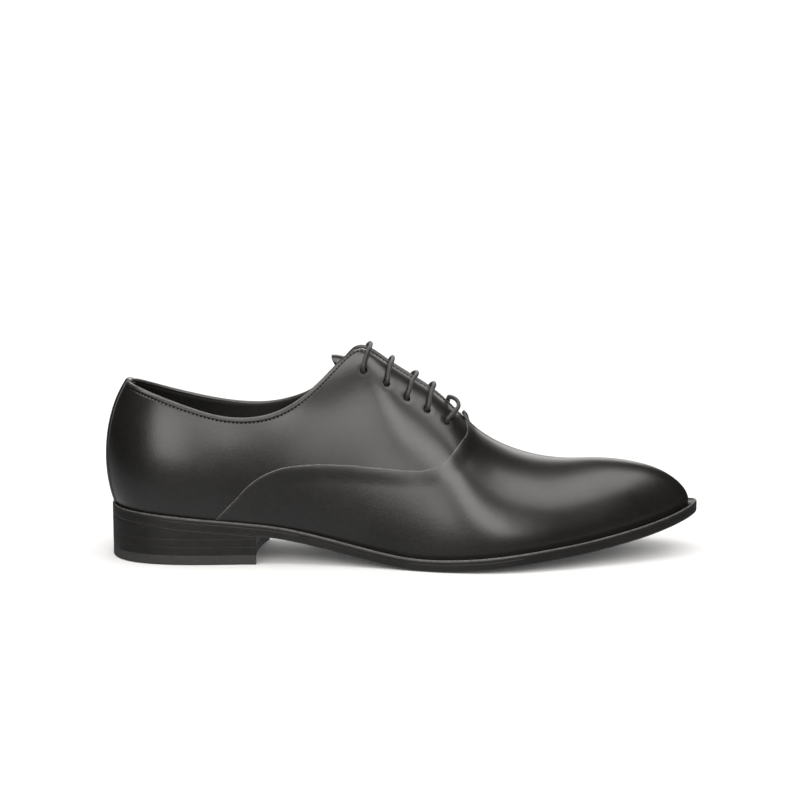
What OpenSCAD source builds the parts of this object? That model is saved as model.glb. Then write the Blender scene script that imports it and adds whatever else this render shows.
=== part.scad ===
// Plain-toe lace-up shoe, right foot, low stacked heel.
// The leathers follow one last surface. Each piece is a layer at its own depth below it.

/* [Leathers] */
// thickness of the outer leather
upper_leather = 1.3; // [1.0:0.1:1.6]
// thickness of the lining leather
lining_leather = 0.9; // [0.6:0.1:1.0]
// thickness of the stiffeners between them
stiffener = 0.8; // [0.5:0.1:0.8]

/* [Bottom] */
// thickness of the outsole
outsole_thick = 4.0; // [3.0:0.1:5.0]
// thickness of the welt strip on the outsole
welt_thick = 2.1; // [1.5:0.1:2.5]
// thickness of the insole board
insole_thick = 2.0; // [1.5:0.1:2.2]
// how far the welt stands out at the forepart
welt_reach = 4.5; // [3.0:0.1:6.0]
// thickness of the rubber top piece under the heel
top_piece_thick = 5.0; // [4.0:0.5:7.0]
// thickness of each flat heel lift
lift_thick = 4.2; // [3.5:0.1:4.4]

/* [Lacing] */
// diameter of the lace
lace_d = 2.2; // [1.8:0.1:2.6]
// diameter of the punched lace holes
hole_d = 3.4; // [3.0:0.1:3.8]
// sides of the round holes and pins in the preview
round_facets = 32; // [24:8:48]

/* [Hidden] */
// centre of the shoe's bounding box, moved to the origin
mid_x = 154.14;
mid_y = -1.05;
welt_height = outsole_thick + welt_thick + 0.1;
black = [0.13, 0.12, 0.12];
dark = [0.08, 0.08, 0.08];
lining = [0.1, 0.09, 0.09];
tan = [0.62, 0.47, 0.33];
steel = [0.7, 0.7, 0.72];

// underside of the outsole: distance from the back of the last, height
sole_line = [[0, 21.8], [25, 20], [50, 17.7], [76, 15.1], [90, 13.4], [102, 11.2], [116, 8.1],
    [130, 5], [144, 2.2], [157, 0.4], [168, 0], [180, 0.4], [195, 1.4], [210, 2.9], [228, 4.8],
    [246, 6.8], [262, 9.3], [278, 12.3], [292, 15.6], [303, 18.9], [311, 21.6]];

// how far the sole edge stands outside the feather line
edge_line = [[0, 1.9], [40, 1.9], [80, 2], [120, 3], [160, welt_reach - 0.3], [230, welt_reach],
    [312, welt_reach]];

// Stations round the last, heel to toe on the lateral side, then back on the medial side.
// feather x, y; border x, y, z; bulge and height of the lower handle; of the upper one; ridge slope
stations = [
    [3.4, 0, 10.8, 0, 92.3, -6.3, 0.25, -6, 0.7, 0],
    [7.6, -14.6, 13.8, -10.6, 91.6, -6.3, 0.25, -6, 0.7, 0],
    [20.5, -25.8, 25.5, -20.4, 88, -6.2, 0.28, -4.5, 0.7, 0],
    [43, -30.2, 44, -24.8, 81.6, -5, 0.32, -2.8, 0.7, 0],
    [68, -29.4, 65, -26.2, 76.2, -5, 0.34, -3.2, 0.7, 0],
    [92, -28.8, 86, -24.8, 77.6, -6, 0.34, -3.4, 0.68, 0],
    [114, -30.4, 103, -19.4, 86.4, -6, 0.34, -2, 0.7, 0],
    [133, -33.9, 116.5, -11.8, 98.6, -4.5, 0.34, 6, 0.82, 0],
    [149.5, -38, 129.5, -5, 108.4, -3, 0.35, 17, 0.96, 0],
    [163, -41.6, 143, -4, 103.6, -2.5, 0.36, 21.5, 1, -0.5],
    [175.5, -44.5, 158, -3.3, 94.2, -2.5, 0.37, 23.5, 1, -0.62],
    [187.5, -46.2, 172.5, -2.4, 84.4, -2.8, 0.38, 25, 1, -0.75],
    [200, -46.4, 186.5, 0.2, 71.5, -3, 0.38, 26, 1, -0.85],
    [213, -44.6, 199.5, 0.5, 61.4, -3.2, 0.39, 26.5, 1, -0.6],
    [227, -40.7, 212.5, 0.8, 55.2, -3.2, 0.41, 24.5, 1, -0.38],
    [242, -35, 226, 1.1, 51.4, -3.2, 0.43, 21, 1, -0.2],
    [257, -28.6, 239.5, 1.4, 49.9, -3.2, 0.45, 17.5, 1, -0.04],
    [272.5, -21.4, 252.5, 1.7, 50, -3, 0.46, 14.5, 1, 0],
    [287.5, -13.2, 263.5, 2, 49.6, -2.8, 0.45, 12, 1, -0.08],
    [299, -5, 271, 2.3, 48.7, -2.2, 0.42, 12, 1, -0.14],
    [305.3, 4, 274.5, 2.6, 48.1, -1.4, 0.38, 14, 1, -0.16],
    [302, 12.4, 271, 2.3, 48.7, -2.2, 0.42, 13, 1, -0.14],
    [292, 20, 263.5, 2, 49.6, -2.8, 0.45, 14, 1, -0.08],
    [277.5, 27, 252.5, 1.7, 50, -3.2, 0.46, 16, 1, 0],
    [261.5, 33.4, 239.5, 1.4, 49.9, -3.6, 0.46, 19, 1, -0.04],
    [245.5, 38.9, 226, 1.1, 51.4, -4, 0.46, 22, 1, -0.2],
    [229.5, 42.8, 212.5, 0.8, 55.2, -4.4, 0.45, 24.5, 1, -0.38],
    [214, 44.4, 199.5, 0.5, 61.4, -4.6, 0.43, 26, 1, -0.6],
    [199.5, 43.2, 186.5, 0.2, 71.5, -5, 0.42, 26, 1, -0.85],
    [185.5, 40, 172.5, 2.6, 84.6, -5.6, 0.4, 24, 1, -0.75],
    [171.5, 35.8, 158, 3.5, 94.6, -6.6, 0.38, 21.5, 1, -0.62],
    [157, 31.4, 143, 4.2, 104.2, -8, 0.36, 18, 1, -0.5],
    [141, 27.4, 129.5, 5.2, 109.2, -9.5, 0.35, 12, 0.96, 0],
    [122, 24.4, 117, 12.4, 94.8, -10.5, 0.34, -1, 0.82, 0],
    [99, 24, 101.5, 20.4, 82.6, -9.5, 0.33, -5, 0.72, 0],
    [73, 26, 84, 25, 77.2, -7.5, 0.33, -5, 0.68, 0],
    [49, 28, 64, 26.4, 77.5, -6, 0.33, -4, 0.7, 0],
    [30, 27, 43.5, 25, 81.4, -6, 0.31, -3.4, 0.7, 0],
    [15.5, 22.2, 25, 20.6, 86.8, -6.4, 0.28, -5, 0.7, 0],
    [6.4, 12.6, 13.6, 10.8, 91.4, -6.3, 0.25, -6, 0.7, 0]
];
n_st = len(stations);
u_toe = 20;

// height of the vamp's top edge on the last, as a share of the rib, by station
seam_line = [[3.6, 0], [3.95, 0.2], [4.2, 0.345], [4.55, 0.46], [5, 0.525], [5.7, 0.525], [6.6, 0.455],
    [7.45, 0.375], [8.2, 0.345], [9.2, 0.37], [9.65, 0.395], [10.2, 0.435], [10.75, 0.515],
    [11.3, 0.635], [11.75, 0.78], [12, 1]];

// a smooth line through points
function span(p, x, i = 0) = (i >= len(p) - 2 || x < p[i + 1][0]) ? i : span(p, x, i + 1);
function grade(p, i) =
    let (a = max(i - 1, 0), b = min(i + 1, len(p) - 1)) (p[b][1] - p[a][1]) / (p[b][0] - p[a][0]);
function curve(p, x) =
    let (i = span(p, x), h = p[i + 1][0] - p[i][0], t = (x - p[i][0]) / h)
    (2 * t * t * t - 3 * t * t + 1) * p[i][1] + (t * t * t - 2 * t * t + t) * h * grade(p, i)
    + (3 * t * t - 2 * t * t * t) * p[i + 1][1] + (t * t * t - t * t) * h * grade(p, i + 1);
function z_sole(x) = curve(sole_line, max(0, min(311, x)));
function z_seat(x) = z_sole(x) + outsole_thick;
function z_feather(x) = z_sole(x) + welt_height;

// closed cubic spline through the stations
function relax(c, n) = n == 0 ? c : relax([for (i = [0:n_st - 1])
    c[i] + stations[i] - (c[(i + n_st - 1) % n_st] + 4 * c[i] + c[(i + 1) % n_st]) / 6], n - 1);
ctrl = relax(stations, 24);
function ring_at(i) = ctrl[(i + 2 * n_st) % n_st];
function rib(u) =
    let (i = floor(u), f = u - i, g = 1 - f)
    (g * g * g * ring_at(i - 1) + (3 * f * f * f - 6 * f * f + 4) * ring_at(i)
    + (3 * g * g * g - 6 * g * g + 4) * ring_at(i + 1) + f * f * f * ring_at(i + 2)) / 6;
function last_point(u, t) =
    let (s = rib(u), f = [s[0], s[1], z_feather(s[0])], b = [s[2], s[3], s[4]],
        run = norm([b[0] - f[0], b[1] - f[1]]), n = [b[0] - f[0], b[1] - f[1], 0] / run,
        rise = [0, 0, b[2] - f[2]], p = f + n * s[5] + rise * s[6],
        q0 = f + n * s[7] + rise * s[8], q = q0 + [0, 0, s[9] * (q0[0] - b[0])], g = 1 - t)
    g * g * g * f + 3 * g * g * t * p + 3 * g * t * t * q + t * t * t * b;
function unit(v) = v / norm(v);
function last_normal(u, t) =
    let (e = 0.02, a = last_point(u + e, t) - last_point(u - e, t),
        b = last_point(u, t + e) - last_point(u, t - e)) unit(cross(a, b));
// on the ridge both halves share one normal
function ridge_normal(u) =
    let (a = last_normal(u, 1), b = last_normal(2 * u_toe - u, 1)) unit(a + b);
function at_depth(u, t, d, ridge = false) =
    last_point(u, t) - d * ((ridge && t > 0.999) ? ridge_normal(u) : last_normal(u, t));

// plan line round the last, moved out by d
function plan_in(u) =
    let (a = rib(u + 0.03), b = rib(u - 0.03), v = unit([a[0] - b[0], a[1] - b[1]])) [-v[1], v[0]];
function plan_point(u, d) = let (s = rib(u), n = plan_in(u)) [s[0] - n[0] * d, s[1] - n[1] * d];
plan_steps = [for (i = [0:119]) i * n_st / 120];
function plan_line(d) = [for (u = plan_steps) plan_point(u, d)];
function sole_plan(d) = [for (u = plan_steps) plan_point(u, curve(edge_line, rib(u)[0]) + d)];

// the lower end of an outer piece: down inside the welt, then turned in under the insole
turn_in = 8;
function lasted(u, inner) =
    let (d = inner ? upper_leather + 0.5 : 0.4, lift = inner ? 0.25 + upper_leather : 0.25,
        p = plan_point(u, -d), q = plan_point(u, -turn_in))
    [[q[0], q[1], z_seat(q[0]) + lift], [p[0], p[1], z_seat(p[0]) + lift]];

// faces of a sheet: outer grid first, then inner grid, rows by columns
function tri(a, b, c, d) = [[a, b, c], [a, c, d]];
function sheet_faces(nr, nc) =
    let (m = nr * nc)
    [for (i = [0:nr - 2], j = [0:nc - 2], f = tri(i * nc + j, i * nc + j + 1, (i + 1) * nc + j + 1,
        (i + 1) * nc + j)) f,
    for (i = [0:nr - 2], j = [0:nc - 2], f = tri(m + i * nc + j, m + (i + 1) * nc + j,
        m + (i + 1) * nc + j + 1, m + i * nc + j + 1)) f,
    for (i = [0:nr - 2], f = tri(i * nc, (i + 1) * nc, m + (i + 1) * nc, m + i * nc)) f,
    for (i = [0:nr - 2], f = tri((i + 1) * nc - 1, m + (i + 1) * nc - 1, m + (i + 2) * nc - 1,
        (i + 2) * nc - 1)) f,
    for (j = [0:nc - 2], f = tri(j, m + j, m + j + 1, j + 1)) f,
    for (j = [0:nc - 2], f = tri((nr - 1) * nc + j, (nr - 1) * nc + j + 1,
        m + (nr - 1) * nc + j + 1, m + (nr - 1) * nc + j)) f];
module sheet(outer, inner) {
    nr = len(outer);
    nc = len(outer[0]);
    polyhedron(
        points = [for (r = outer, p = r) p, for (r = inner, p = r) p],
        faces = [for (f = sheet_faces(nr, nc)) [f[2], f[1], f[0]]],
        convexity = 8
    );
}

// a patch of the last at one depth: its rows, and the rib shares of each row
function share(lo, hi, j, n) = lo + (hi - lo) * j / n;
function patch(us, shares, d) =
    [for (i = [0:len(us) - 1]) [for (t = shares[i]) at_depth(us[i], t, d)]];
function flat(us, v) = [for (u = us) v];
function steps(a, b, n) = [for (i = [0:n]) a + (b - a) * i / n];

// a piece of the last that crosses the ridge: rows run from one side round the toe to the other
// us: rows of the lateral half up to the toe; top share below 1 marks a free edge
function half_to_full(v) = [for (x = v) x, for (i = [len(v) - 2:-1:0]) v[i]];
function rows_full(us) = [for (u = us) u, for (i = [len(us) - 2:-1:0]) 2 * u_toe - us[i]];
function free_rows(hi) = len([for (h = hi) if (h < 0.999) h]);
module saddle(us, lo, hi, n, d0, d1, turned = false) {
    rows = rows_full(us);
    lo2 = half_to_full(lo);
    hi2 = half_to_full(hi);
    tip = len(us) - 1;
    nr = len(rows);
    nc = n + 1 + (turned ? 2 : 0);
    open_rows = free_rows(hi);
    weld = tip - open_rows;
    total = nr * nc - weld;
    function welded(i) = i > tip && i <= 2 * tip - open_rows;
    function row(i, inner) = concat(
        turned ? lasted(rows[i], inner) : [],
        [for (j = [0:n]) if (!(j == n && welded(i)))
            at_depth(rows[i], share(lo2[i], hi2[i], j, n), inner ? d1 : d0, true)]);
    function id(i, j) = (j == nc - 1 && welded(i)) ? id(2 * tip - i, j)
        : i * nc - max(0, min(i - tip - 1, weld)) + j;
    function quad(a, b, c, d) = [[a, b, c], [a, c, d]];
    faces = [
        for (i = [0:nr - 2], j = [0:nc - 2], f = quad(id(i, j), id(i, j + 1), id(i + 1, j + 1),
            id(i + 1, j))) f,
        for (i = [0:nr - 2], j = [0:nc - 2], f = quad(total + id(i, j), total + id(i + 1, j),
            total + id(i + 1, j + 1), total + id(i, j + 1))) f,
        for (i = [0:nr - 2], f = quad(id(i, 0), id(i + 1, 0), total + id(i + 1, 0),
            total + id(i, 0))) f,
        for (i = [0:nr - 2]) if (i < open_rows || i >= nr - 1 - open_rows)
            for (f = quad(id(i, nc - 1), total + id(i, nc - 1), total + id(i + 1, nc - 1),
                id(i + 1, nc - 1))) f,
        for (j = [0:nc - 2], f = quad(id(0, j), total + id(0, j), total + id(0, j + 1),
            id(0, j + 1))) f,
        for (j = [0:nc - 2], f = quad(id(nr - 1, j), id(nr - 1, j + 1), total + id(nr - 1, j + 1),
            total + id(nr - 1, j))) f
    ];
    polyhedron(
        points = concat([for (i = [0:nr - 1], p = row(i, false)) p],
            [for (i = [0:nr - 1], p = row(i, true)) p]),
        faces = [for (f = faces) [f[2], f[1], f[0]]],
        convexity = 8
    );
}

// rows of the lateral half
us_wing = [3.78, 3.95, 4.2, 4.55, 5, 5.4, 5.8, 6.2, 6.6, 7, 7.4, 7.8, 8.2, 8.6, 9, 9.4, 9.8, 10.2,
    10.6, 11, 11.3, 11.55, 11.75, 11.88];
us_front = steps(12, u_toe, 16);
us_vamp = concat(us_wing, us_front);
us_quarter = concat([0.012, 0.5, 1, 1.5, 2, 2.5, 3, 3.55], us_wing);
quarter_rows = 8;
seam_gap = 0.008;
function seam_at(u) = u <= 3.6 ? 0 : u >= 12 ? 1 : curve(seam_line, u);
function side_u(side, u) = side < 0 ? u : 2 * u_toe - u;

// quarters: from the welt or the vamp seam up to the topline and facing edge
function quarter_foot(u) = u <= 3.6 ? 0 : min(seam_at(u) + seam_gap, 0.99);
function quarter_share(u, j) = share(quarter_foot(u), 1, j, quarter_rows);
function quarter_row(side, u, inner) =
    let (v = side_u(side, u), lo = quarter_foot(u), k = upper_leather)
    concat(u <= 3.6 ? lasted(v, inner) : [at_depth(v, lo, inner ? 0.6 * k : 0.4 * k),
        at_depth(v, lo, inner ? 0.8 * k : 0.2 * k)],
        [for (j = [0:quarter_rows]) at_depth(v, quarter_share(u, j), inner ? k : 0)]);
function quarter_grid(side, inner) = [for (u = us_quarter) quarter_row(side, u, inner)];
// reversed rows keep the faces outward on the medial side
function reversed(v) = [for (i = [len(v) - 1:-1:0]) v[i]];
module side_sheet(side, outer, inner) {
    if (side < 0) {
        sheet(outer, inner);
    } else {
        sheet(reversed(outer), reversed(inner));
    }
}
// a layer on one side of the last
module side_layer(side, us, shares, d0, d1) {
    rows = [for (u = us) side_u(side, u)];
    side_sheet(side, patch(rows, shares, d0), patch(rows, shares, d1));
}

// lace holes: station and share of the rib, from the top pair down
holes = [[7.85, 0.8], [8.6, 0.725], [9.35, 0.715], [10.1, 0.71], [10.85, 0.71]];
holes_medial = [[8.02, 0.8], [8.79, 0.725], [9.51, 0.715], [10.23, 0.71], [10.92, 0.71]];
function holes_on(side) = side < 0 ? holes : holes_medial;
module along(p, d) {
    translate(p)
        rotate([0, acos(d[2] / norm(d)), atan2(d[1], d[0])])
            children();
}
module hole_tool(side, r, d0, d1) {
    for (h = holes_on(side)) {
        u = side_u(side, h[0]);
        n = last_normal(u, h[1]);
        along(last_point(u, h[1]) - n * d1, n)
            cylinder(r = r, h = d1 - d0, $fn = round_facets);
    }
}

// slab between two lines of the side view, inside a plan
module slab_profile(x0, x1, lift0, lift1) {
    xs = [for (i = [0:40]) x0 + (x1 - x0) * i / 40];
    translate([0, 80, 0])
        rotate([90, 0, 0])
            linear_extrude(160)
                polygon(concat([for (x = xs) [x, z_sole(x) + lift0]],
                    [for (i = [40:-1:0]) [xs[i], z_sole(xs[i]) + lift1]]));
}
module slab(plan, x0, x1, lift0, lift1) {
    intersection() {
        linear_extrude(60)
            polygon(plan);
        slab_profile(x0, x1, lift0, lift1);
    }
}

// heel block plan: cut by the hollow breast
module heel_plan() {
    difference() {
        intersection() {
            polygon(sole_plan(0));
            translate([-10, -60])
                square([110, 120]);
        }
        translate([227.5, -9])
            circle(r = 150, $fn = 360);
    }
}
module heel_layer(z0, z1) {
    translate([0, 0, z0])
        linear_extrude(z1 - z0)
            heel_plan();
}
pin_spots = [[14, -14], [14, 14], [9, 0], [40, -24], [40, 22], [66, -23], [66, 21]];
module pins(r, z0, z1) {
    for (p = pin_spots)
        translate([p[0], p[1], z0])
            cylinder(r = r, h = z1 - z0, $fn = round_facets);
}

module outsole() {
    color(black)
        slab(sole_plan(0), -2, 313, 0, outsole_thick);
}
module welt() {
    color(black)
        difference() {
            slab(sole_plan(-0.1), -2, 313, outsole_thick + 0.03, welt_height);
            translate([0, 0, -1])
                linear_extrude(70)
                    polygon(plan_line(0.12));
        }
}
module heel_top_piece() {
    color(dark)
        difference() {
            heel_layer(0, top_piece_thick);
            pins(1.25, -1, top_piece_thick + 1);
        }
}
module heel_lift_lower() {
    color(black)
        difference() {
            heel_layer(top_piece_thick + 0.03, top_piece_thick + lift_thick);
            pins(1.25, top_piece_thick - 1, top_piece_thick + 3.2);
        }
}
module heel_lift_upper() {
    color(black)
        heel_layer(top_piece_thick + lift_thick + 0.03, top_piece_thick + 2 * lift_thick);
}
module heel_seat_lift() {
    z0 = top_piece_thick + 2 * lift_thick + 0.03;
    color(black)
        intersection() {
            heel_layer(z0, 30);
            slab_profile(-2, 100, -25, -0.1);
        }
}
module heel_pins() {
    color([0.75, 0.6, 0.3])
        pins(1.2, 0.2, top_piece_thick + 3);
}
shank_w = 13;
module shank_box(w, x0, x1) {
    translate([x0, -w / 2, 0])
        cube([x1 - x0, w, 60]);
}
module shank() {
    color(steel)
        intersection() {
            slab_profile(40, 150, outsole_thick + 0.3, outsole_thick + 1.3);
            shank_box(shank_w, 42, 148);
        }
}
module cork_filler() {
    color([0.55, 0.4, 0.25])
        difference() {
            slab(plan_line(-turn_in - 1), 16, 284, outsole_thick + 0.15, outsole_thick + 1.5);
            shank_box(shank_w + 0.6, 41.7, 148.3);
        }
}
module insole_board() {
    color(tan)
        slab(plan_line(-2.2), 0, 310, outsole_thick + 1.8, outsole_thick + 1.8 + insole_thick);
}
module sock_liner() {
    lift = outsole_thick + 1.9 + insole_thick;
    color(lining)
        slab(plan_line(-4.2), 0, 310, lift, lift + 0.7);
}

module vamp() {
    color(black)
        saddle(us_vamp, flat(us_vamp, 0), [for (u = us_vamp) u < 12 ? seam_at(u) - seam_gap : 1], 9,
            0, upper_leather, true);
}
module quarter(side) {
    difference() {
        side_sheet(side, quarter_grid(side, false), quarter_grid(side, true));
        hole_tool(side, hole_d / 2, -3, upper_leather + 3);
    }
}
module quarter_lateral() {
    color(black)
        quarter(-1);
}
module quarter_medial() {
    color(black)
        quarter(1);
}
// strip over the heel seam, narrow at the top
strip_rows = [0.02, 0.15, 0.3, 0.45, 0.6, 0.75, 0.9, 1];
strip_lift = 0.15;
strip_thick = 0.8;
module back_strip() {
    cols = [-1, -0.55, 0, 0.55, 1];
    function half(t) = 0.62 - 0.08 * t;
    function grid(d) = [for (c = cols) [for (t = strip_rows) at_depth(c * half(t), t, d)]];
    color(black)
        sheet(grid(-strip_lift - strip_thick), grid(-strip_lift));
}
// small leaf-shaped tab over the end of the lacing: its end stations, half widths, height and thickness
tab_from = 11.4;
tab_to = 12.1;
tab_tip_w = 0.6;
tab_base_w = 6.4;
tab_lift = 0.5;
tab_thick = 1;
throat_rib = 78;
module throat_tab() {
    shares = steps(0, 1, 6);
    cols = [-1, -0.67, -0.33, 0, 0.33, 0.67, 1];
    function wide(s) = tab_tip_w + (tab_base_w - tab_tip_w) * sin(90 * pow(s, 0.8));
    function tab_point(s, c, d) =
        let (u = share(tab_from, tab_to, s, 1), v = c > 0 ? 2 * u_toe - u : u)
        at_depth(v, 1 - abs(c) * wide(s) / throat_rib, -d, true);
    color(black)
        sheet([for (c = cols) [for (s = shares) tab_point(s, c, tab_lift + tab_thick)]],
            [for (c = cols) [for (s = shares) tab_point(s, c, tab_lift)]]);
}
d_stiff = upper_leather + 0.12;
d_line = upper_leather + stiffener + 0.35;
d_in = d_line + lining_leather;
module toe_puff() {
    us = steps(17, u_toe, 6);
    color([0.85, 0.82, 0.75])
        saddle(us, flat(us, 0.06), flat(us, 1), 8, d_stiff, d_stiff + stiffener);
}
// rib shares of the layers round the heel: the same as the quarters', so their facets don't cross
heel_shares = [0.07, 0.125, 0.25, 0.375, 0.5, 0.625, 0.75, 0.875, 0.985];
counter_top = [[-3.55, 0.6], [-3, 0.8], [-2.4, 1], [2.4, 1], [3, 0.75]];
module heel_counter() {
    us = [-3.55, -3, -2.5, -2, -1.5, -1, -0.5, 0, 0.5, 1, 1.5, 2, 2.5, 3];
    shares = [for (u = us) [for (j = [0:5]) let (k = lookup(u, counter_top))
        share(heel_shares[0], heel_shares[j], k, 1)]];
    color([0.85, 0.82, 0.75])
        sheet(patch(us, shares, d_stiff), patch(us, shares, d_stiff + stiffener));
}
us_facing = [for (u = us_wing) if (u > 6.9 && u < 11.4) u];
stay_thick = 0.6 * stiffener;
module facing_stay(side) {
    shares = [for (u = us_facing) [for (j = [3:quarter_rows]) min(0.985, quarter_share(u, j))]];
    difference() {
        side_layer(side, us_facing, shares, d_stiff, d_stiff + stay_thick);
        hole_tool(side, lining_hole_r, -3, d_in + 4);
    }
}
module facing_stay_lateral() {
    color([0.85, 0.82, 0.75])
        facing_stay(-1);
}
module facing_stay_medial() {
    color([0.85, 0.82, 0.75])
        facing_stay(1);
}
// hidden rings that line the lace holes behind the outer leather
eyelet_r = hole_d / 2 + 0.3;
eyelet_wall = 0.25;
eyelet_rim_r = eyelet_r + 0.6;
lining_hole_r = eyelet_rim_r + 0.05;
eyelet_back = d_in + 0.35;
module eyelets(side) {
    tall = eyelet_back - upper_leather - 0.45;
    for (h = holes_on(side)) {
        u = side_u(side, h[0]);
        n = last_normal(u, h[1]);
        along(last_point(u, h[1]) - n * eyelet_back, n)
            rotate_extrude($fn = round_facets)
                polygon([[eyelet_r, 0], [eyelet_rim_r, 0], [eyelet_rim_r, 0.3],
                    [eyelet_r + eyelet_wall, 0.3], [eyelet_r + eyelet_wall, tall], [eyelet_r, tall]]);
    }
}
module eyelets_lateral() {
    color(steel)
        eyelets(-1);
}
module eyelets_medial() {
    color(steel)
        eyelets(1);
}
module vamp_lining() {
    us = steps(12.1, u_toe, 16);
    color(lining)
        saddle(us, flat(us, 0.08), flat(us, 1), 8, d_line, d_in);
}
us_lining = concat([1.5, 2, 2.5, 3, 3.55], us_wing, [12.05]);
module quarter_lining(side) {
    difference() {
        side_layer(side, us_lining, flat(us_lining, heel_shares), d_line, d_in);
        hole_tool(side, lining_hole_r, -3, d_in + 4);
    }
}
module quarter_lining_lateral() {
    color(lining)
        quarter_lining(-1);
}
module quarter_lining_medial() {
    color(lining)
        quarter_lining(1);
}
// lining of the heel, between the two quarter linings
module heel_grip() {
    us = [-1.48, -1, -0.5, 0, 0.5, 1, 1.48];
    shares = flat(us, heel_shares);
    color(lining)
        sheet(patch(us, shares, d_line), patch(us, shares, d_in));
}

// tongue: centre x, z; half widths lateral, medial; how fast each side falls away
tongue_rows = [[198, 57.3, 12.5, 11.5, 0.5, 0.42], [190, 62.8, 14, 13, 0.5, 0.4],
    [182, 69.1, 15.5, 14, 0.55, 0.45], [176, 73.8, 16.5, 14.5, 0.6, 0.54],
    [168, 79.9, 17, 15, 0.72, 0.68], [160, 85.7, 17, 15, 0.88, 0.86], [150, 91.9, 17, 14.5, 1.15, 1.1],
    [140, 97.6, 16.5, 14, 1.35, 1.4], [131, 101.8, 15.5, 13, 1.95, 1.9],
    [125, 103.8, 13.2, 11.5, 2.6, 2.6], [120.5, 104.8, 7.8, 8.6, 3, 3], [118, 105, 6, 6.2, 3.2, 3.2],
    [117, 104.9, 4, 3.5, 3.2, 3.2]];
function fall(y, a, b) = y < 0 ? a * (0.024 * y * y + 0.00005 * pow(y, 4))
    : b * (0.045 * y * y + 0.00008 * pow(y, 4));
function tongue_point(i, c) =
    let (r = tongue_rows[i], y = c < 0 ? c * r[2] : c * r[3])
    [r[0] + 0.1 * fall(y, r[4], r[5]), y, r[1] - fall(y, r[4], r[5])];
tongue_cols = [for (i = [0:12]) -1 + i / 6];
n_rows = len(tongue_rows);
function tongue_normal(i, c) =
    let (a = tongue_point(min(i + 1, n_rows - 1), c) - tongue_point(max(i - 1, 0), c),
        b = tongue_point(i, min(1, c + 0.05)) - tongue_point(i, max(-1, c - 0.05)))
    unit(cross(b, a));
module tongue_layer(d0, d1) {
    function grid(d) = [for (i = [0:n_rows - 1]) [for (c = tongue_cols) tongue_point(i, c)
        - d * tongue_normal(i, c)]];
    sheet(grid(d0), grid(d1));
}
module tongue() {
    color(black)
        tongue_layer(0, 1.1);
}
module tongue_lining() {
    color(lining)
        tongue_layer(1.2, 1.9);
}

// lace: free end on the lateral side, up to the fourth hole, straight rungs outside, uprights inside,
// out again at the top and down to the free end on the medial side
lace_route = [
    [70, -25, 26], [90, -24, 23.5], [110, -25, 20], [130, -28, 15.5], [138, -30, 18.5],
    [142, -31, 27.5], [143.5, -31, 35.5], [145.5, -30, 46], [146.5, -27.5, 59], [147, -24, 71.5],
    [147, -20, 81.5], [144.6, -15.3, 89.8], [146.3, -20.1, 93.7], [147, -15.7, 98.3],
    [148, -10.5, 101.3], [148.9, -4.8, 102.6], [148.8, 4.6, 103], [147.9, 8.9, 101.6],
    [146.9, 12.9, 98.4], [146.1, 16.1, 93.7], [144.4, 11, 90.2], [150, 14.4, 82], [155.5, 16.3, 76],
    [159.5, 16.9, 73.5], [163, 15.8, 74.5], [165.5, 13.1, 76.6], [167.2, 17.8, 80.6],
    [168.2, 13.6, 85.2], [169.2, 8.8, 88], [170.4, 4.2, 89.3], [170.5, -4.2, 89.1],
    [169.3, -10.2, 87.7], [168.3, -16.3, 84.9], [167.2, -21.5, 80.4], [165.1, -17.3, 76],
    [170, -17.5, 73], [174.4, -17.9, 69.9], [177.4, -21.3, 74.4], [180.5, -17, 76.8], [183, -11, 79.3],
    [182.3, -4.5, 81.5], [179, 3, 82.2], [178.3, 9, 80.8], [178.2, 14, 77.8], [177.2, 18.3, 74.7],
    [174.5, 14.4, 70.3], [169.5, 11, 77], [164.5, 9, 81.5], [160.5, 8.5, 84], [157.5, 10, 84.5],
    [155, 12.1, 82.8], [156.6, 17, 86.6], [158.1, 13.4, 91.2], [159.7, 8.8, 94], [161.3, 4.2, 95.1],
    [161.4, -4.2, 94.9], [159.8, -10.4, 93.6], [158.3, -16.3, 91], [156.7, -21, 86.6],
    [154.6, -16.6, 82.4], [148, -13, 90.5], [138.5, -9.5, 99], [136.5, -10, 99.5],
    [134.7, -12.2, 96.1], [133.8, -17.3, 99.8], [135, -13.5, 105], [136.5, -9.5, 108.2],
    [137.3, -4.8, 109.5], [137.2, 4.7, 110.4], [136, 8, 109.2], [134.8, 11, 106.4],
    [133.6, 13.8, 101.8], [133.7, 8.4, 98.4], [135, 13, 88], [133.5, 18, 73], [130.5, 21.5, 58],
    [128, 23.5, 46], [124, 23.5, 35.5], [120.5, 22.5, 28], [116, 21, 22.5], [108, 20, 20.5],
    [88, 20, 24], [68, 21.5, 26]];
n_route = len(lace_route);
function lace_dir(i) = unit(lace_route[min(i + 1, n_route - 1)] - lace_route[max(i - 1, 0)]);
function square_to(v, d) = unit(v - d * (v * d));
lace_side = [for (i = 0, v = square_to([0, 0, 1], lace_dir(0)); i < n_route;
    i = i + 1, v = square_to(v, lace_dir(min(i, n_route - 1)))) v];
lace_sides = 8;
module lace() {
    points = [for (i = [0:n_route - 1], k = [0:lace_sides - 1])
        let (a = 360 * k / lace_sides, v = lace_side[i], w = cross(lace_dir(i), v))
        lace_route[i] + lace_d / 2 * (v * cos(a) + w * sin(a))];
    last = (n_route - 1) * lace_sides;
    walls = [for (i = [0:n_route - 2], k = [0:lace_sides - 1])
        let (a = i * lace_sides + k, b = i * lace_sides + (k + 1) % lace_sides)
        for (f = [[b, a, a + lace_sides], [b, a + lace_sides, b + lace_sides]]) f];
    caps = [for (k = [1:lace_sides - 2]) for (f = [[0, k, k + 1], [last, last + k + 1, last + k]]) f];
    color(dark)
        polyhedron(points = points, faces = concat(walls, caps), convexity = 20);
}
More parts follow.
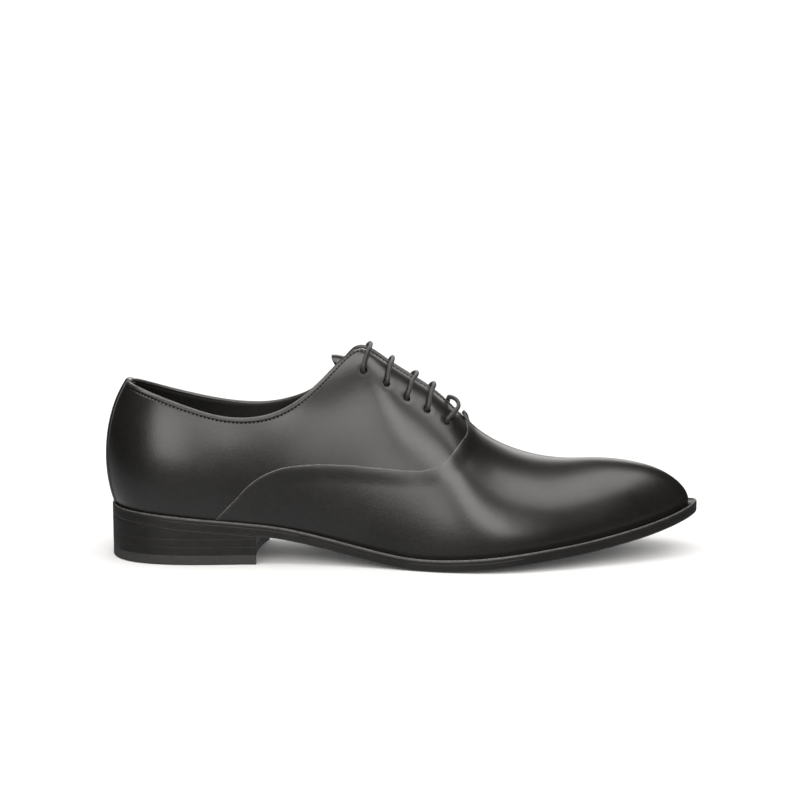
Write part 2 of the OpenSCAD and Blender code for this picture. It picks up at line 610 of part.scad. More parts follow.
module aglet(p, d) {
    color(dark)
        along(p, d)
            cylinder(r = lace_d / 2 + 0.1, h = 20, $fn = round_facets);
}
module aglet_lateral() {
    aglet([69.4, -25, 26.3], [-20, -0.5, 1.7]);
}
module aglet_medial() {
    aglet([67.4, 21.5, 26.5], [-20, 0.6, 1.7]);
}

module placed() {
    translate([-mid_x, -mid_y, 0])
        children();
}

placed() outsole();
placed() welt();
placed() heel_top_piece();
placed() heel_lift_lower();
placed() heel_lift_upper();
placed() heel_seat_lift();
placed() heel_pins();
placed() shank();
placed() cork_filler();
placed() insole_board();
placed() sock_liner();
placed() vamp();
placed() quarter_lateral();
placed() quarter_medial();
placed() back_strip();
placed() throat_tab();
placed() toe_puff();
placed() heel_counter();
placed() facing_stay_lateral();
placed() facing_stay_medial();
placed() eyelets_lateral();
placed() eyelets_medial();
placed() vamp_lining();
placed() quarter_lining_lateral();
placed() quarter_lining_medial();
placed() heel_grip();
placed() tongue();
placed() tongue_lining();
placed() lace();
placed() aglet_medial();
placed() aglet_lateral();
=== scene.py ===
"""Plain-toe lace-up shoe, right foot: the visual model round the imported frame, in metres."""
import math

import bmesh
import bpy
import mathutils
import numpy as np
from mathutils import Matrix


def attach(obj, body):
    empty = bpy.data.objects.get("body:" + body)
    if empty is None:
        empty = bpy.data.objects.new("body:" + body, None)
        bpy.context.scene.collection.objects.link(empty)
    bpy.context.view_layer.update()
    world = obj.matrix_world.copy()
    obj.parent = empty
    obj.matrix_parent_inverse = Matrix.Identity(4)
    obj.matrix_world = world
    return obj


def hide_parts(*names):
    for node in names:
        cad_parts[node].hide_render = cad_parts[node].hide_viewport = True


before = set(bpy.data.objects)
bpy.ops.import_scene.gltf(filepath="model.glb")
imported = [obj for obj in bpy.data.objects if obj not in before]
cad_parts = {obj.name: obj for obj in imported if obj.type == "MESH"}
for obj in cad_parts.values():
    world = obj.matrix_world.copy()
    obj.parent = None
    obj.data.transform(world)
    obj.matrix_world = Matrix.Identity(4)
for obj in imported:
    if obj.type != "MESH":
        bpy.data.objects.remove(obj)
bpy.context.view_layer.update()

MM = 0.001
TAU = 2 * math.pi


# -------- the last, in millimetres
MID = np.array([154.14, -1.05, 0.0])
UPPER = 1.3
LINE_OUT = 2.45
LINE_IN = 3.35
WELT_HEIGHT = 6.2
OUTSOLE = 4.0
HOLE_R = 1.7
LACE_R = 1.1
THROAT_RIB = 78.0

SOLE_LINE = [(0, 21.8), (25, 20), (50, 17.7), (76, 15.1), (90, 13.4), (102, 11.2), (116, 8.1),
             (130, 5), (144, 2.2), (157, 0.4), (168, 0), (180, 0.4), (195, 1.4), (210, 2.9),
             (228, 4.8), (246, 6.8), (262, 9.3), (278, 12.3), (292, 15.6), (303, 18.9), (311, 21.6)]
EDGE_LINE = [(0, 1.9), (40, 1.9), (80, 2), (120, 3), (160, 4.2), (230, 4.5), (312, 4.5)]
SEAM_LINE = [(3.6, 0), (3.95, 0.2), (4.2, 0.345), (4.55, 0.46), (5, 0.525), (5.7, 0.525),
             (6.6, 0.455), (7.45, 0.375), (8.2, 0.345), (9.2, 0.37), (9.65, 0.395), (10.2, 0.435),
             (10.75, 0.515), (11.3, 0.635), (11.75, 0.78), (12, 1)]
# feather x, y; border x, y, z; bulge and height of the lower handle; of the upper one; ridge slope
STATIONS = np.array([
    (3.4, 0, 10.8, 0, 92.3, -6.3, 0.25, -6, 0.7, 0),
    (7.6, -14.6, 13.8, -10.6, 91.6, -6.3, 0.25, -6, 0.7, 0),
    (20.5, -25.8, 25.5, -20.4, 88, -6.2, 0.28, -4.5, 0.7, 0),
    (43, -30.2, 44, -24.8, 81.6, -5, 0.32, -2.8, 0.7, 0),
    (68, -29.4, 65, -26.2, 76.2, -5, 0.34, -3.2, 0.7, 0),
    (92, -28.8, 86, -24.8, 77.6, -6, 0.34, -3.4, 0.68, 0),
    (114, -30.4, 103, -19.4, 86.4, -6, 0.34, -2, 0.7, 0),
    (133, -33.9, 116.5, -11.8, 98.6, -4.5, 0.34, 6, 0.82, 0),
    (149.5, -38, 129.5, -5, 108.4, -3, 0.35, 17, 0.96, 0),
    (163, -41.6, 143, -4, 103.6, -2.5, 0.36, 21.5, 1, -0.5),
    (175.5, -44.5, 158, -3.3, 94.2, -2.5, 0.37, 23.5, 1, -0.62),
    (187.5, -46.2, 172.5, -2.4, 84.4, -2.8, 0.38, 25, 1, -0.75),
    (200, -46.4, 186.5, 0.2, 71.5, -3, 0.38, 26, 1, -0.85),
    (213, -44.6, 199.5, 0.5, 61.4, -3.2, 0.39, 26.5, 1, -0.6),
    (227, -40.7, 212.5, 0.8, 55.2, -3.2, 0.41, 24.5, 1, -0.38),
    (242, -35, 226, 1.1, 51.4, -3.2, 0.43, 21, 1, -0.2),
    (257, -28.6, 239.5, 1.4, 49.9, -3.2, 0.45, 17.5, 1, -0.04),
    (272.5, -21.4, 252.5, 1.7, 50, -3, 0.46, 14.5, 1, 0),
    (287.5, -13.2, 263.5, 2, 49.6, -2.8, 0.45, 12, 1, -0.08),
    (299, -5, 271, 2.3, 48.7, -2.2, 0.42, 12, 1, -0.14),
    (305.3, 4, 274.5, 2.6, 48.1, -1.4, 0.38, 14, 1, -0.16),
    (302, 12.4, 271, 2.3, 48.7, -2.2, 0.42, 13, 1, -0.14),
    (292, 20, 263.5, 2, 49.6, -2.8, 0.45, 14, 1, -0.08),
    (277.5, 27, 252.5, 1.7, 50, -3.2, 0.46, 16, 1, 0),
    (261.5, 33.4, 239.5, 1.4, 49.9, -3.6, 0.46, 19, 1, -0.04),
    (245.5, 38.9, 226, 1.1, 51.4, -4, 0.46, 22, 1, -0.2),
    (229.5, 42.8, 212.5, 0.8, 55.2, -4.4, 0.45, 24.5, 1, -0.38),
    (214, 44.4, 199.5, 0.5, 61.4, -4.6, 0.43, 26, 1, -0.6),
    (199.5, 43.2, 186.5, 0.2, 71.5, -5, 0.42, 26, 1, -0.85),
    (185.5, 40, 172.5, 2.6, 84.6, -5.6, 0.4, 24, 1, -0.75),
    (171.5, 35.8, 158, 3.5, 94.6, -6.6, 0.38, 21.5, 1, -0.62),
    (157, 31.4, 143, 4.2, 104.2, -8, 0.36, 18, 1, -0.5),
    (141, 27.4, 129.5, 5.2, 109.2, -9.5, 0.35, 12, 0.96, 0),
    (122, 24.4, 117, 12.4, 94.8, -10.5, 0.34, -1, 0.82, 0),
    (99, 24, 101.5, 20.4, 82.6, -9.5, 0.33, -5, 0.72, 0),
    (73, 26, 84, 25, 77.2, -7.5, 0.33, -5, 0.68, 0),
    (49, 28, 64, 26.4, 77.5, -6, 0.33, -4, 0.7, 0),
    (30, 27, 43.5, 25, 81.4, -6, 0.31, -3.4, 0.7, 0),
    (15.5, 22.2, 25, 20.6, 86.8, -6.4, 0.28, -5, 0.7, 0),
    (6.4, 12.6, 13.6, 10.8, 91.4, -6.3, 0.25, -6, 0.7, 0)], float)
N_ST = len(STATIONS)
U_SEAM = 3.6
U_WING = 3.62
U_SIDE = 5
U_THROAT = 12.0
U_TOE = 20.0
RIB_STEPS = 200
SIDE_NAME = {-1: "lateral", 1: "medial"}
HOLES = {-1: [(7.85, 0.8), (8.6, 0.725), (9.35, 0.715), (10.1, 0.71), (10.85, 0.71)],
         1: [(8.02, 0.8), (8.79, 0.725), (9.51, 0.715), (10.23, 0.71), (10.92, 0.71)]}
# tongue: centre x, z; half widths lateral, medial; how fast each side falls away
TONGUE = np.array([
    (198, 57.3, 12.5, 11.5, 0.5, 0.42), (190, 62.8, 14, 13, 0.5, 0.4),
    (182, 69.1, 15.5, 14, 0.55, 0.45), (176, 73.8, 16.5, 14.5, 0.6, 0.54),
    (168, 79.9, 17, 15, 0.72, 0.68), (160, 85.7, 17, 15, 0.88, 0.86),
    (150, 91.9, 17, 14.5, 1.15, 1.1), (140, 97.6, 16.5, 14, 1.35, 1.4),
    (131, 101.8, 15.5, 13, 1.95, 1.9), (125, 103.8, 13.2, 11.5, 2.6, 2.6),
    (120.5, 104.8, 7.8, 8.6, 3, 3), (118, 105, 6, 6.2, 3.2, 3.2), (117, 104.9, 4, 3.5, 3.2, 3.2)])
LACE_ROUTE = [
    (70, -25, 26), (90, -24, 23.5), (110, -25, 20), (130, -28, 15.5), (138, -30, 18.5),
    (142, -31, 27.5), (143.5, -31, 35.5), (145.5, -30, 46), (146.5, -27.5, 59), (147, -24, 71.5),
    (147, -20, 81.5), (144.6, -15.3, 89.8), (146.3, -20.1, 93.7), (147, -15.7, 98.3),
    (148, -10.5, 101.3), (148.9, -4.8, 102.6), (148.8, 4.6, 103), (147.9, 8.9, 101.6),
    (146.9, 12.9, 98.4), (146.1, 16.1, 93.7), (144.4, 11, 90.2), (150, 14.4, 82), (155.5, 16.3, 76),
    (159.5, 16.9, 73.5), (163, 15.8, 74.5), (165.5, 13.1, 76.6), (167.2, 17.8, 80.6),
    (168.2, 13.6, 85.2), (169.2, 8.8, 88), (170.4, 4.2, 89.3), (170.5, -4.2, 89.1),
    (169.3, -10.2, 87.7), (168.3, -16.3, 84.9), (167.2, -21.5, 80.4), (165.1, -17.3, 76),
    (170, -17.5, 73), (174.4, -17.9, 69.9), (177.4, -21.3, 74.4), (180.5, -17, 76.8), (183, -11, 79.3),
    (182.3, -4.5, 81.5), (179, 3, 82.2), (178.3, 9, 80.8), (178.2, 14, 77.8), (177.2, 18.3, 74.7),
    (174.5, 14.4, 70.3), (169.5, 11, 77), (164.5, 9, 81.5), (160.5, 8.5, 84), (157.5, 10, 84.5),
    (155, 12.1, 82.8), (156.6, 17, 86.6), (158.1, 13.4, 91.2), (159.7, 8.8, 94), (161.3, 4.2, 95.1),
    (161.4, -4.2, 94.9), (159.8, -10.4, 93.6), (158.3, -16.3, 91), (156.7, -21, 86.6),
    (154.6, -16.6, 82.4), (148, -13, 90.5), (138.5, -9.5, 99), (136.5, -10, 99.5),
    (134.7, -12.2, 96.1), (133.8, -17.3, 99.8), (135, -13.5, 105), (136.5, -9.5, 108.2),
    (137.3, -4.8, 109.5), (137.2, 4.7, 110.4), (136, 8, 109.2), (134.8, 11, 106.4),
    (133.6, 13.8, 101.8), (133.7, 8.4, 98.4), (135, 13, 88), (133.5, 18, 73), (130.5, 21.5, 58),
    (128, 23.5, 46), (124, 23.5, 35.5), (120.5, 22.5, 28), (116, 21, 22.5), (108, 20, 20.5),
    (88, 20, 24), (68, 21.5, 26)]


def hermite(a, b, slope_a, slope_b, h, t):
    """A cubic over a span h from a to b, with a slope at each end, at the share t."""
    return ((2 * t**3 - 3 * t**2 + 1) * a + (t**3 - 2 * t**2 + t) * h * slope_a
            + (3 * t**2 - 2 * t**3) * b + (t**3 - t**2) * h * slope_b)


def curve(points, x):
    """A smooth line through points, with a finite-difference slope at each."""
    p, x = np.asarray(points, float), np.asarray(x, float)
    n = len(p)
    i = np.clip(np.searchsorted(p[:, 0], x, side="right") - 1, 0, n - 2)
    a, b = np.maximum(np.arange(n) - 1, 0), np.minimum(np.arange(n) + 1, n - 1)
    grade = (p[b, 1] - p[a, 1]) / (p[b, 0] - p[a, 0])
    h = p[i + 1, 0] - p[i, 0]
    return hermite(p[i, 1], p[i + 1, 1], grade[i], grade[i + 1], h, (x - p[i, 0]) / h)


def z_sole(x):
    """Height of the outsole's lower face."""
    return curve(SOLE_LINE, np.clip(x, 0, 311))


def relaxed(rows, rounds=24):
    """Control rows whose closed cubic B-spline passes through the given rows."""
    c = rows.copy()
    for _ in range(rounds):
        c = c + rows - (np.roll(c, 1, 0) + 4 * c + np.roll(c, -1, 0)) / 6
    return c


CTRL = relaxed(STATIONS)


def rib(u):
    """The ten numbers of the last's rib at station u."""
    u = np.asarray(u, float)
    i = np.floor(u).astype(int)
    f = (u - i)[..., None]
    g = 1 - f

    def at(k):
        return CTRL[(i + k) % N_ST]

    return (g**3 * at(-1) + (3 * f**3 - 6 * f**2 + 4) * at(0)
            + (3 * g**3 - 6 * g**2 + 4) * at(1) + f**3 * at(2)) / 6


def last_point(u, t):
    """A point of the last's surface: station u, and share t of the rib from the feather line up."""
    u, t = np.broadcast_arrays(np.asarray(u, float), np.asarray(t, float))
    s, t = rib(u), t[..., None]
    f = np.stack([s[..., 0], s[..., 1], z_sole(s[..., 0]) + WELT_HEIGHT], -1)
    b = s[..., 2:5]
    run = (b - f) * (1, 1, 0)
    n = run / np.linalg.norm(run, axis=-1, keepdims=True)
    rise = (b - f) * (0, 0, 1)
    p = f + n * s[..., 5:6] + rise * s[..., 6:7]
    q = f + n * s[..., 7:8] + rise * s[..., 8:9]
    q[..., 2] += s[..., 9] * (q[..., 0] - b[..., 0])
    g = 1 - t
    return g**3 * f + 3 * g**2 * t * p + 3 * g * t**2 * q + t**3 * b


def unit(v):
    return v / np.maximum(np.linalg.norm(v, axis=-1, keepdims=True), 1e-12)


def last_normal(u, t):
    e = 0.02
    u, t = np.asarray(u, float), np.asarray(t, float)
    along = last_point(u + e, t) - last_point(u - e, t)
    up = last_point(u, t + e) - last_point(u, t - e)
    return unit(np.cross(along, up))


def at_depth(u, t, d):
    return last_point(u, t) - np.asarray(d)[..., None] * last_normal(u, t)


def seam_at(u):
    """Rib share of the vamp's top edge."""
    u = np.asarray(u, float)
    inside = curve(SEAM_LINE, np.clip(u, U_SEAM, U_THROAT))
    return np.where(u <= U_SEAM, 0, np.where(u >= U_THROAT, 1, inside))


def side_u(side, u):
    """Station number on the lateral (-1) or the medial (1) side."""
    return u if side < 0 else 2 * U_TOE - u


def smooth(a, b, x):
    t = np.clip((np.asarray(x, float) - a) / (b - a), 0, 1)
    return t * t * (3 - 2 * t)


def plan_point(u, d):
    """The feather line in plan, moved out by d."""
    s, v = rib(u), rib(u + 0.03) - rib(u - 0.03)
    v = unit(v[..., :2])
    out = np.stack([v[..., 1], -v[..., 0]], -1)
    return s[..., :2] + out * np.asarray(d)[..., None]


def raised(p, z):
    """Plan points with their heights."""
    return np.concatenate([p, z[:, None]], 1)


def sole_point(u, d):
    return plan_point(u, curve(EDGE_LINE, rib(u)[..., 0]) + d)


def run_along(points):
    """Length along each line of points, from its start to each point."""
    step = np.linalg.norm(np.diff(points, axis=-2), axis=-1)
    return np.concatenate([np.zeros_like(step[..., :1]), np.cumsum(step, -1)], -1)


def rib_run(u, top, bottom):
    """Rib shares from top to bottom, a row for each u, and the length of the rib down to each."""
    t = top[:, None] + (bottom - top)[:, None] * np.linspace(0, 1, RIB_STEPS)
    return t, run_along(last_point(u[:, None], t))


def share_below(u, top, bottom, dist):
    """Rib shares of points at given distances below the share top, with a row for each u."""
    t, run = rib_run(u, top, bottom)
    return np.stack([np.interp(d, r, k) for d, r, k in zip(dist, run, t)])


def below_topline(u, dist):
    """Rib share at one distance below the topline, for each u."""
    return share_below(u, topline(u), np.zeros_like(u), np.full((len(u), 1), dist))[:, 0]


def graded(u, top, bottom, near, n_far):
    """Rib shares of a row's columns, from the foot up, and their distances from the upper edge.

    near: the distances of those close to the edge."""
    near = np.asarray(near, float)
    run = rib_run(u, top, bottom)[1][:, -1:]
    first = near * np.minimum(1, 0.55 * run / near[-1])
    far = first[:, -1:] + (run - first[:, -1:]) * np.linspace(0, 1, n_far + 1)[1:]
    dist = np.concatenate([first, far], 1)
    return share_below(u, top, bottom, dist)[:, ::-1], dist[:, ::-1]


# -------- making meshes
def place(p):
    """Millimetres in the last's frame to metres in the row frame."""
    return (np.asarray(p, float) - MID) * MM


def link(obj):
    bpy.context.scene.collection.objects.link(obj)
    return obj


class Builder:
    """Collects grids and polygons of one piece, in millimetres, with a value at each point for how much
    lighter it is painted: partly wear, partly painted highlight.
    """

    def __init__(self):
        self.points, self.wear, self.faces, self.mats, self.count = [], [], [], [], 0

    def add(self, points, wear=0.0):
        points = np.asarray(points, float)
        flat = points.reshape(-1, 3)
        index = np.arange(self.count, self.count + len(flat)).reshape(points.shape[:-1])
        self.points.append(flat)
        self.wear.append(np.broadcast_to(wear, points.shape[:-1]).astype(float).ravel())
        self.count += len(flat)
        return index

    def quads(self, index, mat=0, ring=False, cycle=False):
        """Quads over a grid of point numbers; ring closes its columns and cycle its rows."""
        a = np.concatenate([index, index[:, :1]], 1) if ring else index
        a = np.concatenate([a, a[:1]], 0) if cycle else a
        q = np.stack([a[:-1, :-1], a[:-1, 1:], a[1:, 1:], a[1:, :-1]], -1).reshape(-1, 4)
        self.faces += q.tolist()
        self.mats += [mat] * len(q)

    def grid(self, points, mat=0, wear=0.0, **kw):
        index = self.add(points, wear)
        self.quads(index, mat, **kw)
        return index

    def polygon(self, index, mat=0):
        self.faces.append(index.tolist())
        self.mats.append(mat)

    def rod(self, rings):
        """A tube of rings, closed with a flat face at each end."""
        index = self.grid(rings, ring=True)
        self.polygon(index[0][::-1])
        self.polygon(index[-1])

    def object(self, name, materials, merge=2e-6, sharp=50):
        mesh = bpy.data.meshes.new(name)
        mesh.from_pydata(place(np.concatenate(self.points)).tolist(), [], self.faces)
        mesh.polygons.foreach_set("material_index", self.mats)
        layer = mesh.attributes.new("wear", "FLOAT", "POINT")
        layer.data.foreach_set("value", np.concatenate(self.wear).astype(np.float32))
        bm = bmesh.new()
        bm.from_mesh(mesh)
        bmesh.ops.remove_doubles(bm, verts=bm.verts, dist=merge)
        bmesh.ops.dissolve_degenerate(bm, edges=bm.edges, dist=merge)
        bmesh.ops.recalc_face_normals(bm, faces=bm.faces)
        bm.to_mesh(mesh)
        bm.free()
        for m in materials:
            mesh.materials.append(m)
        mesh.shade_smooth()
        mesh.set_sharp_from_angle(angle=math.radians(sharp))
        return link(bpy.data.objects.new(name, mesh))


def half_round(centre, away, normal, radius, steps):
    """Columns of a half-round edge, from the outer face round to the inner one."""
    a = np.linspace(0, math.pi, steps)[1:-1]
    return np.stack([centre + radius * (normal * math.cos(x) + away * math.sin(x)) for x in a], 1)


def sheet_piece(b, outer, inner, top=None, edge_mat=0, wear=0.0, top_wear=1.0, end_rows=(0, -1)):
    """A closed sheet of rows by columns; top: its rounded upper edge, whose point numbers it gives."""
    o = b.grid(outer, 0, wear)
    i = b.grid(inner)
    # The rounded edge is painted lighter: partly wear, partly a painted highlight along the roll.
    t = b.add(top, top_wear) if top is not None else np.empty((len(o), 0), int)
    t = np.concatenate([o[:, -1:], t, i[:, -1:]], 1)
    b.quads(t, edge_mat)
    b.quads(np.stack([i[:, 0], o[:, 0]], 1))
    for row in end_rows:
        b.quads(np.stack([o[row], i[row]]))
        if top is not None:
            b.polygon(t[row], edge_mat)
    return t


def solid(name, b, materials, body, slot, nodes=(), **kw):
    """Makes a builder's piece, puts it on its body, and hides the nodes it replaces; slot is not used."""
    obj = b.object(name, materials, **kw)
    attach(obj, body)
    if nodes:
        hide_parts(*nodes)
    return obj


# -------- camera
def make_camera():
    data = bpy.data.cameras.new("camera")
    data.lens = 82.6
    data.sensor_width = 36
    camera = link(bpy.data.objects.new("camera", data))
    camera.location = (-0.0014, -0.949, 0.22)
    camera.rotation_euler = (math.radians(90 - 8.33), 0, 0)
    bpy.context.scene.camera = camera


# -------- materials
class Nodes:
    """A material with a Principled shader, and short calls for its pattern nodes."""

    def __init__(self, name, **inputs):
        self.material = bpy.data.materials.new(name)
        self.material.use_nodes = True
        self.tree = self.material.node_tree
        self.shader = self.tree.nodes["Principled BSDF"]
        for key, value in inputs.items():
            self.shader.inputs[key.replace("_", " ")].default_value = value
        self.coords = self.tree.nodes.new("ShaderNodeTexCoord").outputs["Object"]

    def node(self, kind, inputs, **settings):
        """A node with its settings, and its inputs, by name or number, linked or set."""
        n = self.tree.nodes.new("ShaderNode" + kind)
        for key, value in settings.items():
            setattr(n, key, value)
        for key, value in inputs.items():
            if isinstance(value, bpy.types.NodeSocket):
                self.tree.links.new(value, n.inputs[key])
            else:
                n.inputs[key].default_value = value
        return n

    def stretched(self, scale, vector=None):
        return self.node("Mapping", {"Vector": vector or self.coords, "Scale": scale}).outputs[0]

    def noise(self, scale, detail=3.0, vector=None):
        return self.node("TexNoise", {"Vector": vector or self.coords, "Scale": scale, "Detail": detail,
                                      "Roughness": 0.55}).outputs["Fac"]

    def cells(self, scale, feature="F1", vector=None):
        return self.node("TexVoronoi", {"Vector": vector or self.coords, "Scale": scale},
                         feature=feature).outputs["Distance"]

    def spread(self, value, low, high, from_low=0.3, from_high=0.7):
        inputs = enumerate((value, from_low, from_high, low, high))
        return self.node("MapRange", dict(inputs)).outputs[0]

    def maths(self, kind, a, b=0.0):
        return self.node("Math", {0: a, 1: b}, operation=kind).outputs[0]

    def ramp(self, value, *stops):
        n = self.node("ValToRGB", {"Fac": value})
        for stop, (position, colour) in zip(n.color_ramp.elements, stops):
            stop.position = position
            stop.color = (*colour, 1)
        return n.outputs["Color"]

    def mixed(self, share, below, colour):
        return self.node("Mix", {0: share, 6: below, 7: (*colour, 1)}, data_type="RGBA").outputs[2]

    # Reads the mesh's lightening attribute: partly wear, partly painted highlight.
    def wear(self):
        return self.node("Attribute", {}, attribute_name="wear").outputs["Fac"]

    def set(self, socket, value):
        self.tree.links.new(value, self.shader.inputs[socket])

    def bumps(self, *layers):
        """Puts bumps on the shader, one over another: the height, distance and strength of each."""
        links = {}
        for height, distance, strength in layers:
            links["Height"] = height
            bump = self.node("Bump", {**links, "Distance": distance, "Strength": strength})
            links = {"Normal": bump.outputs[0]}
        self.set("Normal", links["Normal"])


def calf(name, dark, light, rough_low, rough_high, grain=1.0, coat=0.2, shine=0.5):
    """Polished calf: pebbled grain and pores, cloudy dye, soft dents, and lighter edges that are partly
    wear and partly a painted highlight.
    """
    m = Nodes(name, Coat_Weight=coat, Coat_Roughness=0.22, Specular_IOR_Level=shine)
    cloud = m.maths("ADD", m.maths("MULTIPLY", m.noise(24), 0.55),
                    m.maths("MULTIPLY", m.noise(330), 0.45))
    tone = m.ramp(cloud, (0.3, dark), (0.7, light))
    # Lighter where the mesh attribute marks it: partly edge wear, partly a painted highlight along the
    # rolled edges and seams.
    lightened = m.maths("MULTIPLY", m.wear(), m.spread(m.noise(420, 2), 0.35, 1.0))
    m.set("Base Color", m.mixed(lightened, tone, tuple(7.5 * c for c in light)))
    pebbles = m.spread(m.cells(1250, "SMOOTH_F1", m.stretched((1.0, 1.15, 0.95))), 1.0, 0.0, 0.2, 0.75)
    patchy = m.maths("ADD", m.maths("MULTIPLY", m.noise(45), 0.8),
                     m.maths("MULTIPLY", m.noise(300, 2), 0.2))
    m.set("Roughness", m.spread(patchy, rough_low, rough_high))
    m.bumps((m.noise(90, 2), 0.0004 * grain, 0.2), (m.noise(520, 2), 0.00004 * grain, 0.3),
            (pebbles, 0.00005 * grain, 0.4), (m.noise(3400, 2), 0.00002 * grain, 0.5))
    return m.material


def edge_leather():
    """Dressed sole and heel edges: ink and wax, with the layers only just telling."""
    m = Nodes("sole_edge_dressed", Coat_Weight=0.1, Coat_Roughness=0.28, Specular_IOR_Level=0.38)
    layers = m.stretched((1.0, 1.0, 7.0))
    tone = m.ramp(m.noise(70, 4, layers), (0.3, (0.0036, 0.0033, 0.0031)),
                  (0.75, (0.006, 0.0055, 0.0052)))
    # Lighter where the mesh attribute marks it: along the outsole's lower edge and the heel rims, and a
    # painted highlight along the welt's bead.
    lighter_rims_and_bead_highlight = m.maths("MULTIPLY", m.wear(), m.spread(m.noise(500), 0.3, 1.0))
    m.set("Base Color", m.mixed(lighter_rims_and_bead_highlight, tone, (0.085, 0.082, 0.079)))
    m.set("Roughness", m.spread(m.noise(260), 0.36, 0.5))
    m.bumps((m.noise(110, 3, layers), 0.00006, 0.3), (m.noise(520), 0.0001, 0.3),
            (m.noise(2600, 2), 0.00003, 0.7))
    return m.material


def simple(name, dark, light, rough, scale, depth, stretch=(1, 1, 1), metal=0.0, cells=False,
           sheen=0.0, shine=0.5):
    """A patterned finish for the inner and small pieces."""
    m = Nodes(name, Metallic=metal, Sheen_Weight=sheen, Specular_IOR_Level=shine)
    v = m.stretched(stretch)
    pattern = m.cells(scale, vector=v) if cells else m.noise(scale, 4, v)
    m.set("Base Color", m.ramp(pattern, (0.25, dark), (0.75, light)))
    m.set("Roughness", m.spread(m.noise(scale * 0.3), rough - 0.07, rough + 0.07))
    m.bumps((pattern, depth, 0.8), (m.noise(scale * 3, 2), depth * 0.3, 0.6))
    return m.material


def waxed_braid():
    """Round waxed cotton: crossing strands with a thin shine of wax."""
    m = Nodes("waxed_braid", Coat_Weight=0.1, Coat_Roughness=0.4, Sheen_Weight=0.06)
    uv = m.node("UVMap", {}, uv_map="route").outputs["UV"]
    waves = []
    for lean in (1.0, -1.0):
        axis = m.node("SeparateXYZ", {0: m.stretched((1.0, lean, 1.0), uv)})
        phase = m.maths("ADD", axis.outputs[0], axis.outputs[1])
        waves.append(m.maths("SINE", m.maths("MULTIPLY", phase, 4 * TAU)))
    braid = m.maths("MAXIMUM", *waves)
    fibre = m.noise(2600)
    shade = m.maths("ADD", m.maths("MULTIPLY", braid, 0.25), fibre)
    m.set("Base Color", m.ramp(shade, (0.25, (0.003, 0.003, 0.0029)), (0.95, (0.014, 0.0133, 0.0127))))
    m.set("Roughness", m.spread(fibre, 0.42, 0.6))
    m.bumps((braid, 0.00009, 0.8), (fibre, 0.00004, 0.6))
    return m.material


M = {
    "calf": calf("calf_polished", (0.0024, 0.0022, 0.0021), (0.0062, 0.0056, 0.0052), 0.3, 0.37),
    # A lighter copy of the calf for the rolled and folded edges: partly wear, partly a painted highlight
    # where the light catches the roll.
    "calf_edge": calf("calf_folded_edge_wear_and_highlight", (0.0055, 0.005, 0.0047), (0.012, 0.011, 0.0104), 0.28, 0.4,
                      0.6, 0.2),
    "lining": calf("lining_leather_matt", (0.0022, 0.002, 0.0019), (0.0055, 0.005, 0.0047), 0.55,
                   0.7, 1.4, 0.0, 0.22),
    "sole_edge": edge_leather(),
    "lace": waxed_braid(),
    "thread": simple("thread_waxed", (0.0015, 0.0015, 0.0015), (0.004, 0.004, 0.004), 0.7, 4000,
                     0.00003, shine=0.12),
    "rubber": simple("heel_rubber_matt", (0.010, 0.0098, 0.0095), (0.02, 0.0195, 0.019), 0.6, 700,
                     0.00005),
    "sole_face": simple("sole_leather_dyed", (0.010, 0.0095, 0.009), (0.022, 0.021, 0.02), 0.45, 300,
                        0.00006),
    "brass": simple("pin_brass_dull", (0.36, 0.24, 0.09), (0.62, 0.45, 0.2), 0.4, 900, 0.00003,
                    metal=1.0),
    "steel": simple("spring_steel_brushed", (0.32, 0.32, 0.33), (0.55, 0.55, 0.57), 0.32, 120,
                    0.00002, (1, 30, 30), metal=1.0),
    "cork": simple("cork_pressed", (0.16, 0.085, 0.04), (0.42, 0.26, 0.14), 0.85, 480, 0.0002,
                   cells=True),
    "board": simple("insole_board_leather", (0.24, 0.15, 0.09), (0.42, 0.3, 0.2), 0.7, 260, 0.00008),
    "stiffener": simple("stiffener_cloth", (0.42, 0.39, 0.32), (0.62, 0.59, 0.52), 0.85, 900,
                        0.00006, (1, 1, 4), sheen=0.2),
    "aglet": simple("aglet_plastic_gloss", (0.004, 0.004, 0.004), (0.012, 0.012, 0.012), 0.22, 200,
                    0.00002),
}


# -------- lace and its ends
def resampled(points, step):
    """A centripetal Catmull-Rom line through the points, at even steps."""
    p = np.asarray(points, float)
    s = np.concatenate([[0], np.cumsum(np.sqrt(np.linalg.norm(np.diff(p, axis=0), axis=1)))])
    m = np.empty_like(p)
    v = np.diff(p, axis=0) / np.diff(s)[:, None]
    h0, h1 = np.diff(s)[:-1, None], np.diff(s)[1:, None]
    m[1:-1] = (v[:-1] * h1 + v[1:] * h0) / (h0 + h1)
    m[0], m[-1] = v[0], v[-1]
    out = []
    for i in range(len(p) - 1):
        t = np.linspace(0, 1, 60, endpoint=False)[:, None]
        out.append(hermite(p[i], p[i + 1], m[i], m[i + 1], s[i + 1] - s[i], t))
    fine = np.concatenate(out + [p[-1:]])
    run = run_along(fine)
    even = np.linspace(0, run[-1], int(round(run[-1] / step)) + 1)
    return np.stack([np.interp(even, run, fine[:, k]) for k in range(3)], 1), run[-1]


def frames_along(line):
    """Two cross directions at each point of a line, without twist."""
    tangent = unit(np.gradient(line, axis=0))
    side = np.empty_like(line)
    v = unit(np.cross(tangent[0], (0.0, 1.0, 0.0)))
    for i, t in enumerate(tangent):
        v = v - t * (v @ t)
        v /= np.linalg.norm(v)
        side[i] = v
    return side, np.cross(tangent, side)


def tube(line, radii, sides):
    """Rings round a line; radii is one number, one per ring, or one per ring and side."""
    v, w = frames_along(line)
    a = np.arange(sides) * TAU / sides
    r = np.broadcast_to(np.asarray(radii, float), (len(line), sides))[..., None]
    return line[:, None] + r * (v[:, None] * np.cos(a)[:, None] + w[:, None] * np.sin(a)[:, None])


LACE_STEP = 0.36
BRAID_PITCH = 1.35
BRAID_REPEAT = 4.2


